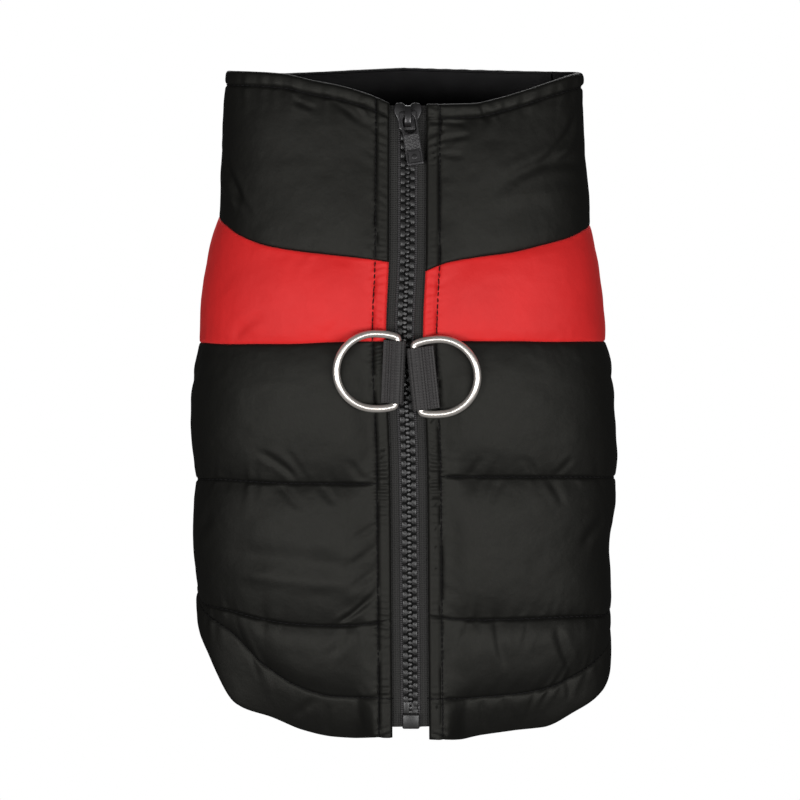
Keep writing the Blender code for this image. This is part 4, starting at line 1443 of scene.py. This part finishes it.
class RowTree:
    """Geometry Nodes that set a small form at even steps along a line on the vest."""

    NAME = "row along a line"
    NODES = (
        ("start", "NodeGroupInput", {}),
        ("end", "NodeGroupOutput", {}),
        ("curve", "GeometryNodeMeshToCurve", {}),
        ("steps", "GeometryNodeCurveToPoints", {"mode": "LENGTH"}),
        ("outward", "GeometryNodeInputNamedAttribute",
         {"data_type": "FLOAT_VECTOR", "Name": "outward"}),
        ("turn", "FunctionNodeAxesToRotation", {"primary_axis": "X", "secondary_axis": "Z"}),
        ("wobble", "FunctionNodeRandomValue", {"data_type": "FLOAT"}),
        ("low", "ShaderNodeMath", {"operation": "SUBTRACT", "Value": 0.0}),
        ("angle", "ShaderNodeMath", {"operation": "ADD"}),
        ("spin", "FunctionNodeAxisAngleToRotation", {"Axis": (0, 0, 1)}),
        ("both", "FunctionNodeRotateRotation", {"rotation_space": "LOCAL"}),
        ("form", "GeometryNodeObjectInfo", {}),
        ("put", "GeometryNodeInstanceOnPoints", {}),
        ("real", "GeometryNodeRealizeInstances", {}),
        ("paint", "GeometryNodeSetMaterial", {}),
    )
    LINKS = (
        "start.Line > curve.Mesh; curve.Curve > steps.Curve; start.Pitch > steps.Length; "
        "steps.Tangent > turn.Primary Axis; outward.Attribute > turn.Secondary Axis; "
        "start.Uneven > low.1; low.0 > wobble.2; start.Uneven > wobble.3; "
        "start.Seed > wobble.Seed; wobble.1 > angle.0; start.Turn > angle.1; "
        "angle.0 > spin.Angle; turn.0 > both.Rotation; spin.0 > both.Rotate By; "
        "start.Form > form.Object; steps.Points > put.Points; form.Geometry > put.Instance; "
        "both.0 > put.Rotation; put.Instances > real.Geometry; real.Geometry > paint.Geometry; "
        "start.Finish > paint.Material; paint.Geometry > end.Row"
    )

    def __init__(self) -> None:
        """Make the tree with its named inputs."""
        self.tree = bpy.data.node_groups.new(self.NAME, "GeometryNodeTree")
        face = self.tree.interface
        face.new_socket("Line", in_out="INPUT", socket_type="NodeSocketGeometry")
        self.sockets = {
            name: face.new_socket(name, in_out="INPUT", socket_type=kind).identifier
            for name, kind in (("Form", "NodeSocketObject"), ("Pitch", "NodeSocketFloat"),
                               ("Turn", "NodeSocketFloat"), ("Uneven", "NodeSocketFloat"),
                               ("Seed", "NodeSocketInt"), ("Finish", "NodeSocketMaterial"))
        }
        face.new_socket("Row", in_out="OUTPUT", socket_type="NodeSocketGeometry")
        nodes = {name: self._node(kind, settings) for name, kind, settings in self.NODES}
        for link in self.LINKS.split("; "):
            output, socket = (self._socket(nodes, *end.split("."), first)
                              for end, first in zip(link.split(" > "), (True, False)))
            self.tree.links.new(output, socket)

    def _node(self, kind: str, settings: dict) -> bpy.types.Node:
        """Add a node, with its properties and then its sockets' values."""
        node = self.tree.nodes.new(kind)
        for key, value in settings.items():
            if key[0].isupper():
                node.inputs[key].default_value = value
            else:
                setattr(node, key, value)
        return node

    @staticmethod
    def _socket(nodes: dict, node: str, name: str, output: bool) -> bpy.types.NodeSocket:
        """Socket of a node by its name or its number."""
        sockets = nodes[node].outputs if output else nodes[node].inputs
        return sockets[int(name) if name.isdigit() else name]

    def along(self, name: str, lines: Sequence[Line], form: bpy.types.Object, finish,
              pitch: float, turn: float = 0.0, uneven: float = 0.0,
              seed: int = 1) -> bpy.types.Object:
        """Set a form along lines and make the result a plain mesh.

        Args:
            name: Name of the row.
            lines: For each line its points in millimetres, and the outward normals there.
            form: The small form, which is used up: X lies along the line and Z points out
                of the vest.
            finish: Its finish.
            pitch: Step in millimetres.
            turn: Turn of each form about the outward axis, in radians.
            uneven: Largest random turn, in radians.
            seed: Seed of the random turns.

        Returns:
            The row, as a plain mesh object.
        """
        points = np.concatenate([line for line, _ in lines])
        normals = np.concatenate([normal for _, normal in lines])
        edges, first = [], 0
        for line, _ in lines:
            edges += [(first + i, first + i + 1) for i in range(len(line) - 1)]
            first += len(line)
        mesh = bpy.data.meshes.new(name)
        mesh.from_pydata((points * MM).tolist(), edges, [])
        mesh.attributes.new("outward", "FLOAT_VECTOR", "POINT").data.foreach_set(
            "vector", normals.astype(np.float32).ravel())
        carrier = linked(name + " line", mesh)
        modifier = carrier.modifiers.new("row", "NODES")
        modifier.node_group = self.tree
        for key, value in (("Form", form), ("Pitch", pitch * MM), ("Turn", turn),
                           ("Uneven", uneven), ("Seed", seed), ("Finish", Palette.of(finish))):
            modifier[self.sockets[key]] = value
        result = evaluated(carrier)
        bpy.data.objects.remove(carrier)
        bpy.data.objects.remove(form)
        result.name = name
        return linked(name, result)


def line_on_vest(signed: Array, height: Array,
                 out: Array | float) -> Line:
    """Points and outward normals of a line on the vest."""
    return FORM.place(signed, height, out), FORM.outward(signed, height)


def thread_form(length: float, thick: float, sections: int = 5,
                sides: int = 6) -> bpy.types.Object:
    """One stitch: a short thread that dips into the cloth at both ends."""
    rings = []
    for way in (2 * i / (sections - 1) - 1 for i in range(sections)):
        lift = thick * (0.75 - 1.1 * abs(way) ** 3)
        size = thick / 2 * (1 - 0.35 * abs(way) ** 2)
        turns = [2 * math.pi * k / sides for k in range(sides)]
        rings.append([Vector((way * length / 2, size * math.cos(turn),
                              lift + size * math.sin(turn))) for turn in turns])
    return lofted("stitch", rings)


# ---------------------------------------------------------------- zip

@dataclass
class Zip:
    """Moulded zip: two tapes, the teeth, the box and its pins."""

    tape_out: float = -2.3
    tape: float = 1.0
    tape_width: float = 13.0
    tape_edge: float = 0.15
    tape_top: float = 117.6
    tape_bottom: float = -132.8
    tape_rows: int = 250
    bead_reach: float = 3.42
    bead: float = 0.45
    tooth_pitch: float = 3.5
    tooth_top: float = -1.6
    tooth_depth: float = 2.4
    teeth_top: float = 112.0
    teeth_bottom: float = -125.0
    stitch_pitch: float = 0.77
    box_height: float = -130.2

    def build(self, rows: RowTree) -> None:
        """Make and dress the zip's pieces."""
        for side in Side:
            self.build_tape(side)
        self.build_teeth(rows)
        self.build_bead_stitches(rows)
        self.build_box()

    def build_tape(self, side: Side) -> None:
        """One woven tape, thicker along its bead."""
        reach = np.concatenate([[self.tape_edge, self.tape_edge + 0.25], np.linspace(0.9, 4.4, 15),
                                np.linspace(4.9, self.tape_width, 14)])
        height = np.linspace(self.tape_top, self.tape_bottom, self.tape_rows)
        fray = 0.25 * FORM_NOISE(reach * 2.0, side.value * 3.0)
        lowest = np.arange(self.tape_rows)[:, None] == self.tape_rows - 1
        height = height[:, None] + np.where(lowest, fray[None, :], 0.0)
        signed = side.value * np.broadcast_to(reach, height.shape)
        bead = self.bead * np.exp(-(((reach - self.bead_reach) / 0.5) ** 2))
        wavy = 0.08 * FORM_NOISE(signed, height * 0.25)
        outer = FORM.place(signed, height, self.tape_out + bead[None, :] + wavy)
        inner = FORM.place(signed, height, self.tape_out - self.tape - 0.5 * bead[None, :] + wavy)
        uv = stacked(signed, height)
        name = f"zip_tape_{side.word}"
        # Painted shade: darkens the tape down its middle, under and between the teeth.
        painted_shade_under_teeth = np.broadcast_to(2.4 * np.exp(-((reach / 2.9) ** 8)), height.shape)
        item = dress(wall(f"{name}_woven", outer, inner, TAPE, uv, painted_shade_under_teeth), Body.VEST, TAPE, name)

    def tooth_form(self) -> bpy.types.Object:
        """One tooth: a foot on the tape's bead, a neck, and a round head."""
        half = [(-2.95, 1.15), (-2.6, 1.42), (-1.45, 1.42), (-1.12, 1.05), (-0.78, 0.52),
                (-0.45, 0.62), (-0.15, 0.80), (0.25, 0.80), (0.62, 0.60), (0.84, 0.22)]
        outline = half + [(x, -z) for x, z in reversed(half)]
        middle = Vector((-1.0, 0.0))
        rings = []
        for depth, shrink in ((-self.tooth_depth / 2, 0.0), (0.85, 0.0), (1.1, 0.10), (1.2, 0.28)):
            ring = []
            for place in map(Vector, outline):
                place -= (place - middle).normalized() * shrink
                ring.append(Vector((place.y, place.x, depth)))
            rings.append(ring)
        return lofted("zip tooth", rings)

    def build_teeth(self, rows: RowTree) -> None:
        """Both rows of teeth, half a step apart."""
        form = self.tooth_form()
        middle = self.tooth_top - self.tooth_depth / 2
        down = np.linspace(self.teeth_top, self.teeth_bottom, 160)
        up = down[::-1] - self.tooth_pitch / 2
        lines = [line_on_vest(np.zeros(160), heights, middle) for heights in (down, up)]
        item = rows.along("zip_teeth", lines, form, MOULDED, self.tooth_pitch)
        dress(item, Body.VEST, MOULDED, "zip_chain")

    def build_bead_stitches(self, rows: RowTree) -> None:
        """Threads that bind the bead of each tape."""
        form = thread_form(length=1.25, thick=0.5)
        heights = np.linspace(self.tape_top - 1, self.tape_bottom + 1.5, 200)
        out = self.tape_out + self.bead + 0.02
        lines = [line_on_vest(np.full(200, side.value * self.bead_reach), heights, out)
                 for side in Side]
        item = rows.along("zip_bead_stitches", lines, form, BEAD_THREAD, self.stitch_pitch,
                          turn=math.pi / 2, uneven=0.12)
        dress(item, Body.VEST, BEAD_THREAD)

    def build_box(self) -> None:
        """Retainer box at the lower end, and the two pins above it."""
        frame = zip_frame(self.box_height)
        parts = [
            block((7.0, 3.4, 6.2), (0.1, 1.3, 0.0), 0.75),
            block((2.5, 2.3, 5.0), (-1.75, 2.7, 5.4), 0.35),
            block((2.4, 2.1, 3.2), (1.5, 2.7, 5.3), 0.35),
            block((1.1, 2.4, 1.6), (3.3, 2.6, 5.2), 0.3),
        ]
        item = joined("zip_box_and_pins", parts, frame, MOULDED)
        dress(item, Body.VEST, MOULDED, "zip_box")


FORM_NOISE = Wander(21, 5.0, 4.0)


def zip_frame(height: float) -> Matrix:
    """Frame on the zip's line in metres: +X right, +Y into the vest, +Z up the cloth."""
    zero = np.zeros(1)
    place = FORM.place(zero, np.array([height]))[0]
    inward = Vector(-FORM.outward(zero, np.array([height]))[0])
    right = Vector((1, 0, 0))
    up = right.cross(inward).normalized()
    turned = Matrix((right, inward, up)).transposed().to_4x4()
    return Matrix.Translation(Vector(place) * MM) @ turned


def block(size: Triple, middle: Triple,
          bevel: float, segments: int = 3) -> bmesh.types.BMesh:
    """Block with round edges, in millimetres."""
    form = bmesh.new()
    bmesh.ops.create_cube(form, size=1)
    bmesh.ops.transform(form, matrix=Matrix.Translation(middle) @ Matrix.Diagonal((*size, 1)),
                        verts=form.verts[:])
    bmesh.ops.bevel(form, geom=form.edges[:], offset=bevel, segments=segments, profile=0.5,
                    affect="EDGES")
    return form


def joined(name: str, parts: Iterable[bmesh.types.BMesh], frame: Matrix, finish,
           sharp: float = 45.0) -> bpy.types.Object:
    """One object of several closed forms, placed by a frame in metres.

    Args:
        name: Its name.
        parts: The forms, in millimetres in the frame.
        frame: Where they go.
        finish: Their finish.
        sharp: Angle past which an edge is not shaded round, in degrees.

    Returns:
        The object, at the origin.
    """
    mesh = bpy.data.meshes.new(name)
    whole = bmesh.new()
    for part in parts:
        bmesh.ops.recalc_face_normals(part, faces=part.faces[:])
        part.to_mesh(mesh)
        whole.from_mesh(mesh)
        part.free()
    bmesh.ops.transform(whole, matrix=frame @ Matrix.Scale(MM, 4), verts=whole.verts[:])
    mapped(whole, 2)
    whole.to_mesh(mesh)
    whole.free()
    mesh.materials.append(Palette.of(finish))
    return finished(name, mesh, sharp)


# ---------------------------------------------------------------- slider and pull tab

def rounded_box(width: float, height: float, middle: Pair, corner: float,
                steps: int = 6) -> list[Pair]:
    """Outline of a rectangle with round corners."""
    points = []
    for quarter, (sign_x, sign_y) in enumerate(((1, 1), (-1, 1), (-1, -1), (1, -1))):
        for i in range(steps + 1):
            turn = math.pi / 2 * (quarter + i / steps)
            points.append((middle[0] + sign_x * (width / 2 - corner) + corner * math.cos(turn),
                           middle[1] + sign_y * (height / 2 - corner) + corner * math.sin(turn)))
    return points


def plate(outlines: Sequence[Sequence[Pair]], depth: float, bevel: float,
          place: Matrix) -> bmesh.types.BMesh:
    """Flat plate with round edges and through holes.

    Args:
        outlines: The plate's outline, and those of its holes.
        depth: Thickness.
        bevel: Radius of its edges.
        place: Where its plane goes, in millimetres.

    Returns:
        The closed form.
    """
    curve = bpy.data.curves.new("plate", "CURVE")
    curve.dimensions, curve.fill_mode = "2D", "BOTH"
    curve.extrude, curve.offset = depth / 2 - bevel, -bevel
    curve.bevel_depth, curve.bevel_resolution = bevel, 2
    for points in outlines:
        spline = curve.splines.new("POLY")
        spline.points.add(len(points) - 1)
        for point, (x, y) in zip(spline.points, points):
            point.co = (x, y, 0, 1)
        spline.use_cyclic_u = True
    flat = linked("plate", curve)
    mesh = evaluated(flat)
    bpy.data.objects.remove(flat)
    form = bmesh.new()
    form.from_mesh(mesh)
    bmesh.ops.remove_doubles(form, verts=form.verts[:], dist=0.001)
    bmesh.ops.transform(form, matrix=place, verts=form.verts[:])
    return form


UPRIGHT = Matrix.Rotation(math.pi / 2, 4, "X")


@dataclass
class Slider:
    """Slider with its bridge, and the pull tab that hangs from it."""

    height: float = 113.0
    plate: float = 1.5
    top: float = 0.25
    shield: tuple[Pair, ...] = (
        (0, 4.4), (1.0, 4.6), (2.0, 5.3), (3.2, 5.6), (4.5, 5.3), (5.4, 4.4), (5.75, 3.0),
        (5.5, 1.4), (4.9, 0.2), (4.3, -1.0), (3.95, -2.6), (3.75, -4.6), (3.1, -5.6),
        (1.2, -5.8))
    pull_length: float = 22.1
    pull_width: float = 6.8
    pull: float = 1.4
    bar: float = 1.8
    lean: float = 8.5
    slot_size: Pair = (4.9, 7.4)
    window: Pair = (4.8, 4.5)
    window_middle: float = -17.75
    pivot: float = 114.2

    def build(self) -> None:
        """Make and dress the slider and its pull tab."""
        frame = zip_frame(self.height)
        outline = list(self.shield) + [(-x, z) for x, z in reversed(self.shield[1:])]
        near = self.plate / 2 - self.top
        lower = plate([outline], 1.2, 0.4, Matrix.Translation((0, 5.15, 0)) @ UPRIGHT)
        upper = plate([outline], self.plate, 0.55, Matrix.Translation((0, near, 0)) @ UPRIGHT)
        wings = [block((0.7, 2.0, tall), (sign * x, near + 1.2, z), 0.25) for sign in (-1, 1)
                 for tall, x, z in ((4.4, 3.5, -3.0), (3.4, 4.9, 2.4))]
        post = block((2.4, 4.7, 4.0), (0, 2.8, 2.3), 0.4)
        item = joined("zip_slider_body", [lower, upper, post, self.bridge(), *wings], frame,
                      LACQUER)
        dress(item, Body.VEST, LACQUER, "zip_slider")
        self.build_pull(frame)

    def bridge(self) -> bmesh.types.BMesh:
        """Arch that holds the pull tab."""
        outline = [(4.0, 0.0), (4.0, 2.9), (3.7, 3.5), (3.0, 3.9), (-2.6, 4.0), (-3.7, 3.5),
                   (-4.4, 2.4), (-4.4, 0.0), (-3.3, 0.0), (-3.3, 1.9), (-2.9, 2.5),
                   (-2.3, 2.85), (2.6, 2.85), (2.9, 2.5), (2.9, 0.0)]
        to_frame = Matrix(((0, 0, 1, 0), (0, -1, 0, 0), (1, 0, 0, 0), (0, 0, 0, 1)))
        return plate([outline], 2.7, 0.3, to_frame)

    def build_pull(self, frame: Matrix) -> None:
        """Pull tab: a loop, a pebbled grip and a sunk square."""
        def square(wider: float, corner: float) -> list[Pair]:
            """Outline like the window's, and wider."""
            return rounded_box(self.window[0] + wider, self.window[1] + wider,
                               (0, self.window_middle), corner)

        half = self.bar / 2
        tab = rounded_box(self.pull_width, self.pull_length, (0, half - self.pull_length / 2), 1.0)
        slot = rounded_box(*self.slot_size, (0, -half - self.slot_size[1] / 2), 2.2)
        body = plate([tab, slot, square(0.0, 0.4)], self.pull, 0.28, UPRIGHT)
        floor = plate([square(0.6, 0.3)], 0.5, 0.1, UPRIGHT)
        rim = plate([square(1.5, 0.8), square(0.3, 0.4)], self.pull + 0.24, 0.1, UPRIGHT)
        boss = plate([rounded_box(2.2, 2.2, (0, self.window_middle), 1.1)], 0.9, 0.2, UPRIGHT)
        grip = plate([rounded_box(6.0, 6.4, (0, -11.9), 0.4)], self.pull + 0.2, 0.1, UPRIGHT)
        place = (frame @ Matrix.Translation(Vector((0, -1.6, self.pivot - self.height)) * MM)
                 @ Matrix.Rotation(math.radians(-self.lean), 4, "Y"))
        item = joined("zip_pull_tab", [body, floor, rim, boss], place, LACQUER)
        dress(item, Body.PULL_TAB, LACQUER, "zip_pull")
        dress(joined("zip_pull_grip", [grip], place, PEBBLED), Body.PULL_TAB, PEBBLED)


# ---------------------------------------------------------------- lead rings

@dataclass
class LeadRing:
    """Welded D-ring and the loop of webbing that holds it."""

    side: Side
    x: float
    height: float
    lean: float
    tail: float
    wire: float = 3.0
    tall: float = 33.0
    wide: float = 25.6
    bar: float = 27.2
    widest: float = 8.8
    square: float = 2.6
    round: float = 2.0
    lift: float = 6.0
    webbing_width: float = 25.0
    webbing: float = 1.2
    rib_pitch: float = 1.55
    rib: float = 0.34
    sides: int = 24

    def frame(self) -> Matrix:
        """Frame on the ring's bar: +X towards the bow, +Y out of the vest, Z on the bar."""
        front = -float(FORM.sizes["front"](self.height))
        far = 2 * GAP + self.webbing + self.wire / 2
        lean = math.radians(self.lean)
        outwards = Vector((0, -1, 0))
        bar = Vector((math.sin(lean), 0, math.cos(lean))) * -self.side.value
        bow = outwards.cross(bar)
        return (Matrix.Translation(Vector((self.x, front - far, self.height)) * MM)
                @ Matrix((bow, outwards, bar)).transposed().to_4x4())

    def middle_line(self, steps: int = 44) -> Array:
        """Middle line of the wire, in the plane of the ring."""
        half_tall = (self.tall - self.wire) / 2
        bow = self.wide - self.wire / 2 - self.widest
        corner = math.asin((self.bar / 2 / half_tall) ** (self.square / 2))
        turn = np.linspace(corner, math.pi / 2, steps // 2, endpoint=False)
        part = (np.cos(turn) / math.cos(corner)) ** (2 / self.square)
        shoulder = stacked(self.widest * (1 - part), half_tall * np.sin(turn) ** (2 / self.square))
        turn = np.linspace(math.pi / 2, -math.pi / 2, 2 * steps + 1)
        arc = stacked(self.widest + bow * np.maximum(np.cos(turn), 0) ** (2 / self.round),
                      half_tall * np.sign(turn) * np.abs(np.sin(turn)) ** (2 / self.round))
        back = np.linspace(shoulder[0] * (1, -1), shoulder[0], 22)[1:-1]
        return np.concatenate([shoulder, arc, shoulder[::-1] * (1, -1), back])

    def ring(self) -> bpy.types.Object:
        """Round wire along the middle line, with its weld on the bar."""
        line = self.middle_line()
        for _ in range(3):
            line = (np.roll(line, 1, 0) + 2 * line + np.roll(line, -1, 0)) / 4
        lift = math.radians(self.lift)
        middle = stacked(line[:, 0] * math.cos(lift), line[:, 0] * math.sin(lift), line[:, 1])
        along = np.roll(middle, -1, 0) - np.roll(middle, 1, 0)
        along /= np.linalg.norm(along, axis=1, keepdims=True)
        flat = np.array([-math.sin(lift), math.cos(lift), 0.0])
        side = np.cross(along, flat)
        turn = np.linspace(0, 2 * math.pi, self.sides, endpoint=False)
        weld = 1 + 0.06 * np.exp(-((line[:, 1] / 1.2) ** 2)) * (line[:, 0] < 0.5)
        radius = (self.wire / 2 * weld)[:, None, None]
        points = middle[:, None] + radius * (np.cos(turn)[None, :, None] * side[:, None]
                                             + np.sin(turn)[None, :, None] * flat)
        faces = grid_faces(*points.shape[:2], ring=True, tube=True)
        return solid(f"ring_{self.side.word}_wire", self.placed(points), faces, STEEL)

    def placed(self, points: Array) -> Array:
        """Points of the ring's frame as points of the vest."""
        frame = np.array(self.frame())
        return points.reshape(-1, 3) @ frame[:3, :3].T + frame[:3, 3] / MM

    def loop(self, radius: float, tail: float, low: float, high: float,
             count: int) -> Array:
        """Closed path of one face of the webbing round the bar, at even steps."""
        turn = np.linspace(0, math.pi, 40)
        fold = stacked(-radius * np.sin(turn), radius * np.cos(turn))
        way = np.linspace(1.0, 0.0, 30)[:-1]
        slope = stacked(tail * way, high + (radius - high) * (1 - ease(way)))
        path = np.concatenate([fold, [(tail - 0.3, low), (tail, low + 0.3)], slope, fold[:1]])
        far = np.concatenate([[0], np.cumsum(np.hypot(*np.diff(path, axis=0).T))])
        even = np.linspace(0, far[-1], count, endpoint=False)
        return stacked(*(np.interp(even, far, path[:, k]) for k in range(2)))

    def webbing_loop(self) -> bpy.types.Object:
        """Ribbed webbing folded round the bar."""
        count = 150
        inside = self.wire / 2 + GAP
        outside = inside + self.webbing
        outer = self.loop(outside, self.tail, -outside, -outside + 2 * self.webbing, count)
        inner = self.loop(inside, self.tail - 1.6, -inside, -inside + GAP / 2, count)
        width = np.linspace(-self.webbing_width / 2, self.webbing_width / 2, 56)
        step = np.roll(outer, -1, 0) - np.roll(outer, 1, 0)
        far = np.cumsum(np.hypot(*(outer - np.roll(outer, 1, 0)).T))
        normal = stacked(step[:, 1], -step[:, 0])
        normal /= -np.linalg.norm(normal, axis=1, keepdims=True)
        ribs = np.abs(np.sin(math.pi * far / self.rib_pitch))[None, :] ** 0.7
        knots = 0.75 + 0.25 * np.cos(2 * math.pi * (width[:, None] / 1.1
                                                    + 0.5 * np.floor(far / self.rib_pitch)))
        end = 1 - np.exp(-(self.webbing_width / 2 - np.abs(width)[:, None]) / 0.35)
        relief = self.rib * (ribs * knots - 1) * end - 0.3 * (1 - end)
        outer_3d = outer[None] + normal[None] * relief[..., None]
        shape = (len(width), count)
        across = np.broadcast_to(width[:, None], shape)
        outer_grid, inner_grid = (
            self.placed(stacked(face[..., 0], face[..., 1], across)).reshape(*shape, 3)
            for face in (outer_3d, np.broadcast_to(inner, (*shape, 2))))
        uv = stacked(np.broadcast_to(far, shape), across)
        # The rib tops take a painted highlight through the wear mask.
        return wall(f"webbing_{self.side.word}_loop", outer_grid, inner_grid, WEBBING, uv,
                    np.broadcast_to((ribs * knots) ** 2, shape), ring=True)

    def build(self, body: Body) -> None:
        """Make and dress the ring and its webbing."""
        dress(self.ring(), body, STEEL, f"ring_{self.side.word}")
        item = dress(self.webbing_loop(), Body.VEST, WEBBING, f"webbing_{self.side.word}")


# ---------------------------------------------------------------- studio

@dataclass
class Studio:
    """Plain pale room with soft light, and the camera."""

    aim: Triple = (-1.6, -40.0, 0.0)
    distance: float = 1760.0
    elevation: float = 5.0
    lens: float = 198.0
    sensor: float = 36.0
    floor_height: float = -2600.0
    room: float = 60000.0
    fill: float = 0.05
    side_turn: float = 27.0
    side_lift: float = -4.0
    side_power: float = 13.5
    side_size: Pair = (0.95, 0.5)
    back_lift: float = 30.0
    back_power: float = 6.0
    back_size: Pair = (0.9, 0.9)

    def camera(self) -> None:
        """Camera at the photograph's angle."""
        data = bpy.data.cameras.new("camera")
        data.lens, data.sensor_width = self.lens, self.sensor
        data.clip_start, data.clip_end = 0.05, 50.0
        camera = linked("camera", data)
        lift = math.radians(self.elevation)
        back = Vector((0, -math.cos(lift), math.sin(lift)))
        camera.location = (Vector(self.aim) + back * self.distance) * MM
        camera.rotation_euler = back.to_track_quat("Z", "Y").to_euler()
        bpy.context.scene.camera = camera

    def lamp(self, name: str, azimuth: float, elevation: float, power: float,
             size: Pair, far: float = 1.5) -> None:
        """Oblong soft light aimed at the vest.

        Args:
            name: Its name.
            azimuth: Degrees round the vest from the camera, to the right.
            elevation: Degrees above level.
            power: Watts.
            size: Width and height in metres.
            far: Distance in metres.
        """
        data = bpy.data.lights.new(name, "AREA")
        data.energy, data.shape = power, "RECTANGLE"
        data.size, data.size_y = size
        lamp = linked(name, data)
        turn, lift = math.radians(azimuth), math.radians(elevation)
        back = Vector((math.sin(turn) * math.cos(lift), -math.cos(turn) * math.cos(lift),
                       math.sin(lift)))
        lamp.location = back * far
        lamp.rotation_euler = back.to_track_quat("Z", "Y").to_euler()

    def floor(self) -> None:
        """Wide pale floor, seen as plain white."""
        mesh = bpy.data.meshes.new("floor")
        form = bmesh.new()
        bmesh.ops.create_circle(form, cap_ends=True, segments=96, radius=self.room * MM)
        form.to_mesh(mesh)
        form.free()
        floor = linked("floor", mesh)
        floor.location.z = self.floor_height * MM
        board = Board("pale floor")
        board.surface(Base_Color=rgba((0.8, 0.8, 0.8)), Roughness=0.9)
        seen = board.add("ShaderNodeLightPath").outputs["Is Camera Ray"]
        glow = board.add("ShaderNodeEmission").outputs["Emission"]
        both = board.add("ShaderNodeMixShader", Fac=seen)
        board.feed(both.inputs[1], board.shader.outputs["BSDF"])
        board.feed(both.inputs[2], glow)
        board.feed(board.tree.nodes["Material Output"].inputs["Surface"], both.outputs[0])
        mesh.materials.append(board.material)

    def surroundings(self) -> None:
        """White backdrop that gives the vest only a little light of its own."""
        world = bpy.data.worlds.new("studio")
        world.use_nodes = True
        tree = world.node_tree
        dim = tree.nodes["Background"]
        dim.inputs["Color"].default_value = (1, 1, 1, 1)
        dim.inputs["Strength"].default_value = self.fill
        white = tree.nodes.new("ShaderNodeBackground")
        path = tree.nodes.new("ShaderNodeLightPath")
        mix = tree.nodes.new("ShaderNodeMixShader")
        tree.links.new(path.outputs["Is Camera Ray"], mix.inputs[0])
        tree.links.new(dim.outputs[0], mix.inputs[1])
        tree.links.new(white.outputs[0], mix.inputs[2])
        tree.links.new(mix.outputs[0], tree.nodes["World Output"].inputs["Surface"])
        white.inputs["Color"].default_value = (1, 1, 1, 1)
        bpy.context.scene.world = world

    def build(self) -> None:
        """Set up the room, the lights and the camera."""
        bpy.context.scene.view_settings.view_transform = "Standard"
        self.surroundings()
        self.floor()
        for name, turn in (("left box", -self.side_turn), ("right box", self.side_turn)):
            self.lamp(name, turn, self.side_lift, self.side_power, self.side_size)
        self.lamp("back box", 180, self.back_lift, self.back_power, self.back_size)
        self.camera()


def main() -> None:
    """Build every piece of the vest and the studio."""
    logging.basicConfig(level=logging.INFO, format="%(message)s")
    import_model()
    rows = RowTree()
    ClothPanels().build(rows)
    LegBindings().build()
    Zip().build(rows)
    Slider().build()
    LeadRing(Side.LEFT, x=-3.0, height=11.6, lean=2.5, tail=5.4).build(Body.RING_LEFT)
    LeadRing(Side.RIGHT, x=5.4, height=8.9, lean=-6.0, tail=7.4).build(Body.RING_RIGHT)
    Studio().build()


if __name__ == "__main__":
    main()
